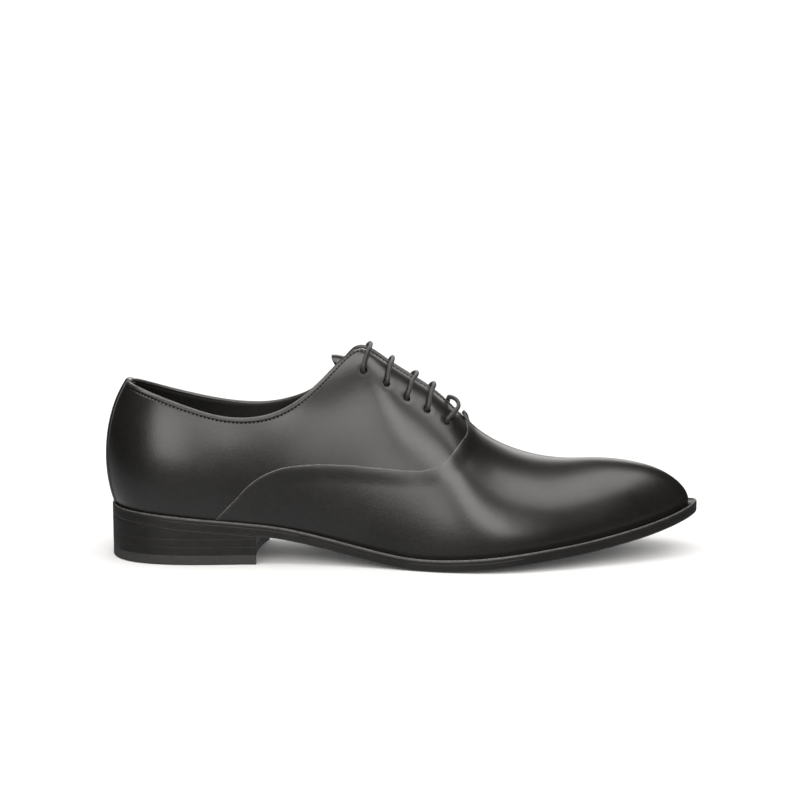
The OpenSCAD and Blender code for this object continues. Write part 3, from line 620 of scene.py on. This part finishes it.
def make_lace():
    """The one lace: a braided cord along its route, with an aglet at each end."""
    line, length = resampled(LACE_ROUTE, LACE_STEP)
    sides = 16
    s = np.linspace(0, length, len(line))[:, None]
    a = np.arange(sides) * TAU / sides
    relief = 0.045 * (np.cos(4 * a) * 0.5 + np.cos(TAU * s / BRAID_PITCH) * 0.5)
    b = Builder()
    b.rod(tube(line, LACE_R * (1 + relief), sides))
    lace = solid("lace_cord", b, [M["lace"]], "shoe", "waxed_cotton", ["lace"], merge=1e-7)
    layer = lace.data.uv_layers.new(name="route")
    for loop in lace.data.loops:
        i, k = divmod(loop.vertex_index, sides)
        layer.data[loop.index].uv = (s[i, 0] / BRAID_REPEAT, k / sides)
    ends = [make_aglet("lateral", line[0], line[0] - line[6]),
            make_aglet("medial", line[-1], line[-1] - line[-7])]


def make_aglet(word, start, away):
    """A rolled plastic tip with two crimps and a domed end."""
    away = unit(away)
    profile = [(-1.2, 1.12), (-1.2, 1.2), (-0.9, 1.27), (1.5, 1.27), (2.0, 1.2), (2.5, 1.27),
               (14, 1.25), (14.5, 1.18), (15, 1.25), (18.3, 1.22), (19.2, 1.05), (19.6, 0.7),
               (19.7, 0.05)]
    side = unit(np.cross(away, (0.0, 1.0, 0.0)))
    other = np.cross(away, side)
    a = np.arange(20)[:, None] * TAU / 20
    b = Builder()
    b.rod([start + away * d + r * (side * np.cos(a) + other * np.sin(a)) for d, r in profile])
    return solid("aglet_tip_" + word, b, [M["aglet"]], "shoe", "aglet_plastic", ["aglet_" + word])


make_camera()
make_lace()


# -------- upper
R_TOP = 1.15
PULL_RUN = 4.2
STITCH_IN = 2.5
UNDER_VAMP = 7.0
NEAR_TOP = [0, 0.3, 0.6, 0.95, 1.3, 1.6, 1.9, 2.15, 2.4, 2.65, 2.9, 3.2, 3.6, 4.2, 5.0, 6.0, 7.2]
NEAR_SEAM = [0, 0.35, 0.8, 1.4, 2.1, 2.9, 3.8, 4.8, 6.0, 7.4, 9.0]


TOPLINE_GAP = 1.7
LINING_FOOT = 0.07
SEAM_U = np.concatenate([np.linspace(U_SEAM, U_SIDE, 160), np.linspace(U_SIDE, U_THROAT, 260)[1:]])
SEAM_POINTS = {side: last_point(side_u(side, SEAM_U), seam_at(SEAM_U)) for side in SIDE_NAME}


def seam_distance(side, points):
    """Distance of each point from that side's seam."""
    flat = points.reshape(-1, 3)
    line = SEAM_POINTS[side]
    best = [np.linalg.norm(flat[k:k + 4000, None] - line, axis=-1).min(1)
            for k in range(0, len(flat), 4000)]
    return np.concatenate(best).reshape(points.shape[:-1])


def border_away(side, u, top):
    """Direction out of a piece, in the surface and square to its upper edge, and the normal there."""
    e = 0.03
    run = last_point(side_u(side, u + e), top(u + e)) - last_point(side_u(side, u - e), top(u - e))
    normal = last_normal(side_u(side, u), top(u))
    return unit(np.cross(normal, run)) * (-side), normal


def lasted(u, inner):
    """The foot of an outer piece: in under the insole, then up to the feather line."""
    lift = 0.25 + UPPER if inner else 0.25
    plans = [plan_point(u, d) for d in (-8.0, -(UPPER + 0.5) if inner else -0.4)]
    return np.stack([raised(p, z_sole(p[:, 0]) + OUTSOLE + lift) for p in plans], 1)


def joined(lateral, medial):
    """The columns of both halves as one row, up to the ridge and down again."""
    return np.concatenate([lateral, medial[:, -2::-1]], 1)


def hole_dip(side, points):
    """How far the leather is drawn in round the lace holes."""
    dip = np.zeros(points.shape[:-1])
    for u, t in HOLES[side]:
        r = np.linalg.norm(points - last_point(side_u(side, u), t), axis=-1)
        dip += 0.3 * np.exp(-(r / 2.7) ** 2) - 0.07 * np.exp(-((r - 3.9) / 1.5) ** 2)
    return dip


def topline(u):
    return np.ones_like(np.asarray(u, float))


def raise_near(s):
    """How far the vamp stands up over the quarter, by the distance from its edge."""
    return 0.5 * (1 - smooth(0.5, 9.0, s))


def wing_rows(side, us):
    """Outer and inner columns of the vamp on one side, from its foot up to the seam or ridge."""
    v = side_u(side, us)
    top, bottom = seam_at(us), np.zeros_like(us)
    shares, _ = graded(v, top, bottom, NEAR_SEAM, 34)
    on = last_point(v[:, None], shares)
    s = seam_distance(side, on)
    s = np.minimum(s, np.linalg.norm(on - last_point(U_THROAT, 1.0), axis=-1))
    normal = last_normal(v[:, None], shares)
    outer = on + raise_near(s)[..., None] * normal
    inner = on - (-0.03 + (UPPER + 0.03) * smooth(3, 8, s))[..., None] * normal
    # Lighter towards the seam edge: partly wear, partly a painted highlight along the seam.
    edge_wear = np.exp(-s / 0.5)
    return (np.concatenate([lasted(v, False), outer], 1), np.concatenate([lasted(v, True), inner], 1),
            np.concatenate([np.zeros((len(us), 2)), edge_wear], 1))


def make_vamp():
    """The vamp: a wing on each side, and the plain toe, whose two halves meet on the ridge."""
    b = Builder()
    us = np.concatenate([np.linspace(U_WING, U_SIDE, 36), np.linspace(U_SIDE, U_THROAT, 96)[1:]])
    for side in (-1, 1):
        outer, inner, wear = wing_rows(side, us)
        away, normal = border_away(side, us, seam_at)
        r = np.linalg.norm(outer[:, -1] - inner[:, -1], axis=-1)[:, None] / 2
        top = half_round((outer[:, -1] + inner[:, -1]) / 2, away, normal, r, 6)
        edge = sheet_piece(b, outer, inner, top, edge_mat=1, wear=wear, end_rows=[0])
        b.polygon(edge[-1], 1)
    front = np.linspace(U_THROAT, U_TOE, 110)
    halves = [wing_rows(side, front) for side in (-1, 1)]
    layers = []
    for lateral, medial in zip(halves[0][:2], halves[1][:2]):
        gap = (lateral[:, -1] - medial[:, -1])[:, None]
        fade = np.linspace(0, 1, medial.shape[1])[None, :, None] ** 6
        layers.append(joined(lateral, medial + gap * fade))
    o = b.grid(layers[0], 0, joined(halves[0][2], halves[1][2]))
    i = b.grid(layers[1])
    for col in (0, -1):
        b.quads(np.stack([o[:, col], i[:, col]]))
    solid("vamp_upper", b, [M["calf"], M["calf_edge"]], "shoe", "calf", ["vamp"])


def quarter_rows(side, us):
    """Outer and inner columns of a quarter, sunk under the vamp, and distances from the topline."""
    v = side_u(side, us)
    under = UNDER_VAMP * smooth(U_SEAM, U_SEAM + 0.3, us)
    low = share_below(v, seam_at(us), np.zeros_like(us), under[:, None])[:, 0]
    shares, dist = graded(v, topline(us), np.where(us > U_SEAM, low, 0.0), NEAR_TOP, 46)
    on = last_point(v[:, None], shares)
    normal = last_normal(v[:, None], shares)
    s = seam_distance(side, on)
    below = shares < seam_at(us)[:, None]
    sink = np.where(below, 1.36 * smooth(1.2, 6.5, s), 0.0)
    groove = 0.3 * np.exp(-((dist - STITCH_IN) / 0.5) ** 2)
    swell = -0.12 * np.exp(-((dist - 1.2) / 0.7) ** 2)
    depth = sink + groove + swell + hole_dip(side, on)
    thick = UPPER + (2 * R_TOP - UPPER) * (1 - smooth(4, 9, dist))
    outer = on - depth[..., None] * normal
    inner = on - np.where(below, sink + 0.45, thick)[..., None] * normal
    return outer, inner, dist


def rolled_top(side, us, outer, inner):
    """Moves both faces' upper columns down to make room for the rolled edge, and gives its columns."""
    away, normal = border_away(side, us, topline)
    edge = outer[:, -1] - away * R_TOP
    near = np.array(NEAR_TOP)[::-1]
    pull = np.clip(1 - near / PULL_RUN, 0, 1)[None, :, None]
    for face, border in ((outer, edge), (inner, edge - 2 * R_TOP * normal)):
        face[:, -len(near):] -= away[:, None] * R_TOP * pull
        face[:, -1] = border
    return half_round(edge - R_TOP * normal, away, normal, R_TOP, 10)


def with_foot(face, foot, free):
    """Adds two columns under a face: its lasted foot, or, where it is free, a little more of it."""
    step = face[:, :1] - face[:, 1:2]
    under = np.concatenate([face[:, :1] + step * 0.8, face[:, :1] + step * 0.4], 1)
    return np.concatenate([np.where(free, under, foot), face], 1)


def make_quarter(side):
    """One quarter: lasted behind, tucked under the vamp in front, with a folded topline and holes."""
    us = np.concatenate([np.linspace(0.0, U_SEAM, 52), np.linspace(U_SEAM, U_SIDE, 34)[1:],
                         np.linspace(U_SIDE, U_THROAT, 130)[1:]])
    outer, inner, dist = quarter_rows(side, us)
    top = rolled_top(side, us, outer, inner)
    free = (us > U_SEAM)[:, None, None]
    outer, inner = [with_foot(face, lasted(side_u(side, us), below), free)
                    for face, below in ((outer, False), (inner, True))]
    # Lighter towards the topline: partly wear, partly a painted highlight along the folded edge.
    wear = np.concatenate([np.zeros((len(us), 2)), 0.3 * np.exp(-dist / 0.6)], 1)
    b = Builder()
    sheet_piece(b, outer, inner, top, edge_mat=1, wear=wear, top_wear=0.3)
    piece = solid("quarter_upper_" + SIDE_NAME[side], b, [M["calf"], M["calf_edge"]], "shoe", "calf",
                  ["quarter_" + SIDE_NAME[side]])
    punch(piece, side, HOLE_R, -3, 4)


def leather(name, node, outer, inner, kind, body="shoe", **kw):
    """A piece of plain sheet leather, in calf or in lining leather."""
    b = Builder()
    sheet_piece(b, outer, inner, **kw)
    return solid(name, b, [M[kind]], body, {"lining": "lining_leather"}.get(kind, kind), [node])


def cylinder(b, a, c, r, sides=32):
    b.rod(tube(np.array([a, c], float), r, sides))


def cut_away(piece, b, name):
    """Cuts a set of tools out of a piece."""
    tool = b.object(name, [])
    mod = piece.modifiers.new("cut", "BOOLEAN")
    mod.operation = "DIFFERENCE"
    mod.solver = "EXACT"
    mod.object = tool
    bpy.context.view_layer.objects.active = piece
    with bpy.context.temp_override(object=piece, active_object=piece, selected_objects=[piece]):
        bpy.ops.object.modifier_apply(modifier=mod.name)
    bpy.data.meshes.remove(tool.data)


def punch(piece, side, r, up, down):
    """Cuts one side's lace holes out of a piece, between two depths below the last's surface."""
    b = Builder()
    for u, t in HOLES[side]:
        p, n = last_point(side_u(side, u), t), last_normal(side_u(side, u), t)
        cylinder(b, p - n * up, p - n * down, r)
    cut_away(piece, b, "hole_tool")


def make_back_strip():
    """The strip over the heel seam, folded over the topline and down inside."""
    cols = np.concatenate([[-1, -0.985, -0.95], np.linspace(-0.88, 0.88, 15), [0.95, 0.985, 1]])
    rise = 0.85 * np.sqrt(np.clip(1 - np.abs(cols) ** 9, 0, 1))
    t = np.linspace(0.02, 0.988, 70)[:, None]
    u = cols * (0.62 - 0.08 * t)
    on = last_point(u, t)
    normal = last_normal(u, t)
    outside = on + (rise + 0.02)[None, :, None] * normal
    base = on - 0.1 * normal
    uc = u[-1]
    away, n0 = border_away(-1, uc, topline)
    over, under = [], []
    centre = last_point(uc, 1.0) - away * R_TOP - n0 * R_TOP
    for a in np.linspace(0.12, math.pi, 12):
        d = n0 * math.cos(a) + away * math.sin(a)
        over.append(centre + d * (R_TOP + rise + 0.02)[:, None])
        under.append(centre + d * (R_TOP - 0.1))
    down = np.linspace(0.985, 0.86, 12)[:, None]
    inside = at_depth(uc, down, 2 * R_TOP + 0.95 + 0.35 * rise)
    back = at_depth(uc, down, 2 * R_TOP + 0.6)
    outer = np.concatenate([outside, np.array(over), inside])
    inner = np.concatenate([base, np.array(under), back])
    leather("back_strip_upper", "back_strip", outer, inner, "calf",
            wear=np.exp(-((1 - np.abs(cols)) / 0.06) ** 2) * 0.5)


def make_throat_tab():
    """A small leaf over the end of the lacing: its pointed end stands up, its base meets the seam."""
    s = np.linspace(0, 1, 36)[:, None]
    c = np.linspace(-1, 1, 31)[None]
    wide = 1.0 + 6.2 * np.sin(math.pi / 2 * s**0.75)
    u = 11.83 + 0.22 * s
    u = np.where(c > 0, 2 * U_TOE - u, u)
    t = 1 - np.abs(c) * wide / THROAT_RIB
    ridge = unit(last_normal(u, 1.0) + last_normal(2 * U_TOE - u, 1.0))
    n = np.where((np.abs(c) < 0.01)[..., None], ridge, last_normal(u, t))
    on = last_point(u, t)
    roof = (1 - smooth(0.65, 1.0, s)) * (1 - np.abs(c) ** 1.5)
    lift = 0.3 + 1.4 * roof + 0.5 * (1 - s) ** 2
    thick = 0.95 * np.sqrt(np.clip(1 - np.abs(c) ** 8, 0.02, 1))
    thick = thick * np.sqrt(np.clip(1 - (1 - s) ** 12, 0.05, 1))
    base = on + lift[..., None] * n
    leather("throat_tab_leaf", "throat_tab", base + thick[..., None] * n, base, "calf",
            wear=0.5 * np.abs(c) ** 6)


def tongue_surface(rows, cols):
    """Points and normals of the tongue's upper face."""
    i = np.arange(len(TONGUE))
    r = np.stack([curve(np.stack([i, TONGUE[:, k]], 1), rows) for k in range(6)], 1)
    y = np.where(cols[None] < 0, cols[None] * r[:, 2:3], cols[None] * r[:, 3:4])
    fall = np.where(y < 0, r[:, 4:5] * (0.024 * y**2 + 0.00005 * y**4),
                    r[:, 5:6] * (0.045 * y**2 + 0.00008 * y**4))
    p = np.stack([r[:, :1] + 0.1 * fall, y, r[:, 1:2] - fall], -1)
    n = unit(np.cross(np.gradient(p, axis=1), np.gradient(p, axis=0)))
    return p, n * np.sign(n[..., 2:3])


def make_tongue():
    rows = np.concatenate([np.linspace(0, 10, 80), np.linspace(10, 12, 24)[1:]])
    cols = np.concatenate([[-1, -0.99, -0.97], np.linspace(-0.93, 0.93, 39), [0.97, 0.99, 1]])
    p, n = tongue_surface(rows, cols)
    out = np.maximum(np.abs(cols)[None], (rows / 12)[:, None])
    rim = np.sqrt(np.clip(1 - out ** 40, 0, 1))
    groove = 0.12 * np.exp(-((out - 0.9) / 0.012) ** 2)
    outer = p - (0.4 * (1 - rim) + groove)[..., None] * n
    inner = p - (0.4 + 0.7 * rim)[..., None] * n
    leather("tongue_upper", "tongue", outer, inner, "calf", "tongue", wear=out ** 30 * 0.8)
    keep = rows < 11.7
    lined, _ = tongue_surface(rows[keep], cols * 0.985)
    n = n[keep]
    leather("tongue_lining_leather", "tongue_lining", lined - 1.16 * n,
            lined - (1.3 + 0.65 * rim[keep])[..., None] * n, "lining", "tongue")


def lining_piece(name, node, us, near, groove):
    """A lining from below the topline to the insole: a rounded rim, and a sunk line of this depth."""
    start = below_topline(us, TOPLINE_GAP)
    shares, dist = graded(us, start, np.full_like(us, LINING_FOOT), near, 24)
    rim = 0.3 * np.exp(-(dist / 0.5) ** 2)
    sunk = groove * np.exp(-((dist - 1.6) / 0.4) ** 2)
    return leather(name, node, at_depth(us[:, None], shares, LINE_OUT + rim),
                   at_depth(us[:, None], shares, LINE_IN - rim + sunk), "lining")


def make_side_lining(side):
    word = SIDE_NAME[side]
    us = side_u(side, np.linspace(1.5, 12.05, 120))
    piece = lining_piece("quarter_lining_leather_" + word, "quarter_lining_" + word, us,
                         [0, 0.5, 1.1, 1.9, 3, 4.5, 6.5], 0.06)
    punch(piece, side, 2.65, -1, 6)


def make_vamp_lining():
    us = np.linspace(12.1, U_TOE, 56)
    t = np.linspace(0.08, 1, 26)
    layers = []
    for d in (LINE_OUT, LINE_IN):
        halves = []
        for side in (-1, 1):
            v = side_u(side, us)[:, None]
            n = last_normal(v, t[None])
            n[:, -1] = unit(last_normal(us, 1.0) + last_normal(side_u(1, us), 1.0))
            halves.append(last_point(v, t[None]) - d * n)
        halves[1][:, -1] = halves[0][:, -1]
        layers.append(joined(*halves))
    leather("vamp_lining_leather", "vamp_lining", *layers, "lining", end_rows=[0])


# -------- stitches
def stitch(b, a, c, normal, r=0.36):
    """One sunk stitch from a to c: a short thread that dips in at both ends."""
    k = np.linspace(0, 1, 6)
    line = a + (c - a) * k[:, None] + normal * (0.22 * np.sin(math.pi * k) - 0.12)[:, None]
    radii = (r * np.sqrt(np.clip(1 - (2 * k - 1) ** 6, 0.12, 1)))[:, None]
    b.rod(tube(line, radii, 7))


def stitch_line(b, points, normals, pitch=2.1, length=1.25):
    run = run_along(points)

    def at(values, s):
        return np.array([np.interp(s, run, values[:, j]) for j in range(3)])

    n = int(run[-1] / pitch)
    for k in range(n):
        s = (run[-1] - n * pitch) / 2 + (k + 0.5) * pitch
        stitch(b, at(points, s - length / 2), at(points, s + length / 2), unit(at(normals, s)))


def make_topline_stitches(side):
    us = np.linspace(0.62, 11.9, 420)
    v = side_u(side, us)
    t = below_topline(v, STITCH_IN)
    pull = R_TOP * (1 - STITCH_IN / PULL_RUN)
    away, _ = border_away(side, us, topline)
    normal = last_normal(v, t)
    b = Builder()
    stitch_line(b, last_point(v, t) - away * pull - normal * 0.16, normal)
    solid("topline_stitches_" + SIDE_NAME[side], b, [M["thread"]], "shoe", "waxed_cotton")


# -------- bottom
def swept(n, edge=(), feather=()):
    """Rings at n stations: outward offsets from either line, and heights over the sole's face."""
    us = np.arange(n) * N_ST / n
    plans = [(sole_point(us, out), up) for out, up in edge]
    plans += [(plan_point(us, out), up) for out, up in feather]
    return np.stack([raised(p, z_sole(p[:, 0]) + up) for p, up in plans], 1)


def across(b, ring_points, height, n, mat=0):
    """Fills a ring that is paired lateral to medial with a grid whose height follows its x."""
    k = len(ring_points) // 2
    lat, med = ring_points[:k + 1], np.concatenate([ring_points[:1], ring_points[:k - 1:-1]])
    c = np.linspace(0, 1, n)[None, :, None]
    p = lat[:, None] * (1 - c) + med[:, None] * c
    p[:, 1:-1, 2] = height(p[:, 1:-1, 0])
    b.grid(p, mat)


def make_outsole():
    rings = swept(480, [(-0.9, 0), (-0.45, 0.05), (-0.15, 0.3), (0, 0.7), (0, 1), (0, 2.4), (0, 3.7),
                        (-0.02, 3.95), (-0.1, 3.99), (-1, 3.99)])
    b = Builder()
    b.grid(rings, 0, [0.2, 0.35, 0.3, 0.05, 0, 0, 0, 0, 0, 0], cycle=True)
    across(b, rings[:, 0], z_sole, 24, 1)
    across(b, rings[:, -1], lambda x: z_sole(x) + 3.98, 8, 0)
    solid("outsole_leather", b, [M["sole_edge"], M["sole_face"]], "shoe", "sole_edge", ["outsole"],
          sharp=60)


def make_welt():
    """The strip round the upper: a rounded bead on its rim and a dark channel beside the leather."""
    rings = swept(480, [(-1, 4), (-0.1, 4), (-0.02, 4.03), (0, 4.2), (0, 4.9), (-0.05, 5.45),
                        (-0.2, 5.85), (-0.45, 6.1), (-0.75, 6.2), (-1.05, 6.14), (-1.3, 5.95),
                        (-1.5, 5.7)], [(0.35, 5.45), (0.12, 5.3), (0.12, 4.02)])
    b = Builder()
    # The top of the bead is painted lighter: a painted highlight along the welt's bead.
    b.grid(rings, 0, [0, 0, 0, 0, 0, 0.2, 0.55, 0.8, 0.8, 0.6, 0.2, 0, 0, 0, 0], ring=True, cycle=True)
    solid("welt_strip", b, [M["sole_edge"]], "shoe", "sole_edge", ["welt"])


BREAST = np.array([227.5, -9.0])
BREAST_R = 150.0
HEEL_SIDE = 60
SUPPORT = 0.25
TOP_PIECE = 5.0
LIFT = 4.2


def heel_outline(inset):
    """The heel's plan, moved in: from the medial corner round the back, then along the breast."""
    ends = []
    for side in (-1, 1):
        low, high = 2.0, 6.5
        for _ in range(40):
            m = (low + high) / 2
            far = np.linalg.norm(sole_point(np.array(side_u(side, m) % N_ST), -inset) - BREAST)
            low, high = (m, high) if far > BREAST_R + inset else (low, m)
        ends.append(m)
    us = np.concatenate([np.linspace(-ends[1], 0, HEEL_SIDE + 1)[:-1],
                         np.linspace(0, ends[0], HEEL_SIDE + 1)])
    outline = sole_point(us, -inset)
    a = [math.atan2(*(outline[k] - BREAST)[::-1]) % TAU for k in (-1, 0)]
    arc = np.linspace(*a, 24)[1:-1]
    breast = BREAST + (BREAST_R + inset) * np.stack([np.cos(arc), np.sin(arc)], 1)
    return np.concatenate([outline, breast])


def heel_cap(b, ring, height):
    """A face across the heel: its front row follows the hollow breast, and those behind ease into it."""
    first, second = ring[HEEL_SIDE:2 * HEEL_SIDE + 1], ring[HEEL_SIDE::-1]
    front = np.concatenate([ring[2 * HEEL_SIDE:], ring[:1]])
    c = np.linspace(0, 1, len(front))[None, :, None]
    p = first[:, None] * (1 - c) + second[:, None] * c
    behind = (first[-1, 0] + second[-1, 0] - first[:, 0] - second[:, 0]) / 2
    ease = np.clip(1 - behind / 25.0, 0, 1) ** 2
    p += ease[:, None, None] * (front - p[-1])
    p[:, 1:-1, 2] = height(p[:, 1:-1, 0])
    b.grid(p)


def make_heel_layer(name, node, low, high, under, over, finish="sole_edge"):
    """One lift. low and high: its heights by x; under and over: how far each rim is rounded."""
    b = Builder()
    section = [(0, under, 0, 0.1), (0, 0.3 * under, 0.3 * under, 0.15), (0, 0, under, 0.05),
               (0, 0, under + SUPPORT, 0), (0.5, 0, 0, 0), (1, 0, -over - SUPPORT, 0),
               (1, 0, -over, 0.05), (1, 0.3 * over, -0.3 * over, 0.1), (1, over, 0, 0.1)]
    rings = []
    for share, inset, up, _ in section:
        p = heel_outline(inset)
        rings.append(raised(p, low(p[:, 0]) * (1 - share) + high(p[:, 0]) * share + up))
    rings = np.stack(rings, 1)
    b.grid(rings, 0, [lightened for *_, lightened in section], cycle=True)
    heel_cap(b, rings[:, 0], low)
    heel_cap(b, rings[:, -1], high)
    slot = {"rubber": "heel_rubber"}.get(finish, finish)
    return solid(name, b, [M[finish]], "shoe", slot, [node], merge=1e-5)


def make_heel():
    """The rubber top piece with its pin holes, and three lifts, the last one under the outsole."""

    def flat(z):
        return lambda x: np.full_like(x, z)

    first, seat = TOP_PIECE + LIFT, TOP_PIECE + 2 * LIFT
    piece = make_heel_layer("heel_top_rubber", "heel_top_piece", flat(0), flat(TOP_PIECE - 0.02), 0.6,
                            0.12, "rubber")
    b = Builder()
    for x, y in ((14, -14), (14, 14), (9, 0), (40, -24), (40, 22), (66, -23), (66, 21)):
        cylinder(b, (x, y, -1), (x, y, TOP_PIECE + 1), 1.25, 24)
    cut_away(piece, b, "pin_tool")
    make_heel_layer("heel_lift_first", "heel_lift_lower", flat(TOP_PIECE + 0.02), flat(first), 0.12, 0.02)
    make_heel_layer("heel_lift_second", "heel_lift_upper", flat(first + 0.01), flat(seat), 0.02, 0.02)
    make_heel_layer("heel_lift_seat", "heel_seat_lift", flat(seat + 0.01), lambda x: z_sole(x) - 0.03,
                    0.02, 0.14)


def make_sock_liner():
    """The sock over the insole, with a rounded rim."""
    lift = OUTSOLE + 3.95
    rim = ((-3.5, 0), (-2.95, 0.1), (-2.8, 0.35), (-2.95, 0.6), (-3.5, 0.7))
    rings = swept(360, feather=[(out, lift + up) for out, up in rim])
    b = Builder()
    b.grid(rings, 0, cycle=True)
    across(b, rings[:, 0], lambda x: z_sole(x) + lift, 10)
    across(b, rings[:, -1], lambda x: z_sole(x) + lift + 0.7, 20)
    solid("sock_leather", b, [M["lining"]], "shoe", "lining_leather", ["sock_liner"])


# -------- put together
make_vamp()
make_quarter(-1)
make_quarter(1)
make_back_strip()
make_throat_tab()
make_tongue()
make_side_lining(-1)
make_side_lining(1)
lining_piece("heel_grip_lining", "heel_grip", np.linspace(-1.48, 1.48, 40), [0, 0.5, 1.1, 1.9, 3, 4.5], 0)
make_vamp_lining()
make_topline_stitches(-1)
make_topline_stitches(1)
make_outsole()
make_welt()
make_heel()
make_sock_liner()

CAD_FINISH = {"heel_pins": "brass", "shank": "steel", "cork_filler": "cork", "insole_board": "board",
              "toe_puff": "stiffener", "heel_counter": "stiffener", "facing_stay_lateral": "stiffener",
              "facing_stay_medial": "stiffener", "eyelets_lateral": "steel", "eyelets_medial": "steel"}
for node, finish in CAD_FINISH.items():
    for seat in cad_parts[node].material_slots:
        seat.material = M[finish]


# -------- floor and light
FLOOR_FLAT = 2.1
FLOOR_BEND = 1.5
WALL_TOP = 6
GLOW_BELOW = 0.6
GLOW_ABOVE = 0.025


def make_floor():
    """A pale round floor that curves up into a wall, and glows more the further off it is."""
    bend = np.linspace(0.08, math.pi / 2, 14)
    profile = [(0.02, 0), (0.6, 0), (1.2, 0), (FLOOR_FLAT, 0)]
    profile += [(FLOOR_FLAT + FLOOR_BEND * math.sin(a), FLOOR_BEND - FLOOR_BEND * math.cos(a))
                for a in bend] + [(FLOOR_FLAT + FLOOR_BEND, WALL_TOP)]
    turn = np.arange(96) * TAU / 96
    b = Builder()
    rings = b.grid([[np.array([r * math.cos(a), r * math.sin(a), z]) / MM + MID for a in turn]
                    for r, z in profile], ring=True)
    b.polygon(rings[0])
    m = Nodes("studio_paper", Roughness=0.9, Specular_IOR_Level=0.1)
    m.set("Base Color", m.ramp(m.noise(3), (0.3, (0.5, 0.5, 0.5)), (0.7, (0.52, 0.52, 0.52))))
    away = m.node("VectorMath", {0: m.coords}, operation="LENGTH").outputs["Value"]
    m.shader.inputs["Emission Color"].default_value = (1, 1, 1, 1)
    m.set("Emission Strength", m.spread(away, 0.02, 0.85, 0.5, 2.4))
    floor = b.object("studio_floor", [m.material])
    floor.visible_glossy = False


def panel(name, where, width, height, radiance):
    """A softbox that faces the shoe, given by its brightness."""
    data = bpy.data.lights.new(name, "AREA")
    data.shape = "RECTANGLE"
    data.size, data.size_y = width, height
    data.energy = radiance * math.pi * width * height
    data.color = (1.0, 0.975, 0.95)
    lamp = link(bpy.data.objects.new(name, data))
    lamp.location = where
    way = mathutils.Vector((0, 0, 0.05)) - mathutils.Vector(where)
    lamp.rotation_euler = way.to_track_quat("-Z", "Y").to_euler()
    lamp.visible_camera = False


def make_light():
    """A dark room with a pale glow from below, and four panels: two by the camera, above, behind."""
    world = bpy.data.worlds.new("studio")
    bpy.context.scene.world = world
    world.use_nodes = True
    tree = world.node_tree
    coords = tree.nodes.new("ShaderNodeTexCoord")
    axes = tree.nodes.new("ShaderNodeSeparateXYZ")
    level = tree.nodes.new("ShaderNodeMapRange")
    for k, v in zip((1, 2, 3, 4), (-0.45, -0.1, GLOW_BELOW, GLOW_ABOVE)):
        level.inputs[k].default_value = v
    tree.links.new(coords.outputs["Generated"], axes.inputs[0])
    tree.links.new(axes.outputs["Z"], level.inputs[0])
    tree.links.new(level.outputs[0], tree.nodes["Background"].inputs["Strength"])
    tree.nodes["Background"].inputs["Color"].default_value = (1, 1, 1, 1)
    panel("front_panel_left", (-0.56, -1.45, 0.64), 0.62, 1.15, 4.9)
    panel("front_panel_right", (0.36, -1.42, 0.90), 0.74, 1.1, 6.6)
    panel("top_panel", (0, -0.15, 1.5), 2.4, 1.0, 4.2)
    panel("rear_panel", (0.1, 1.5, 0.75), 1.2, 0.9, 2.4)


make_floor()
make_light()
bpy.context.scene.view_settings.view_transform = "Standard"
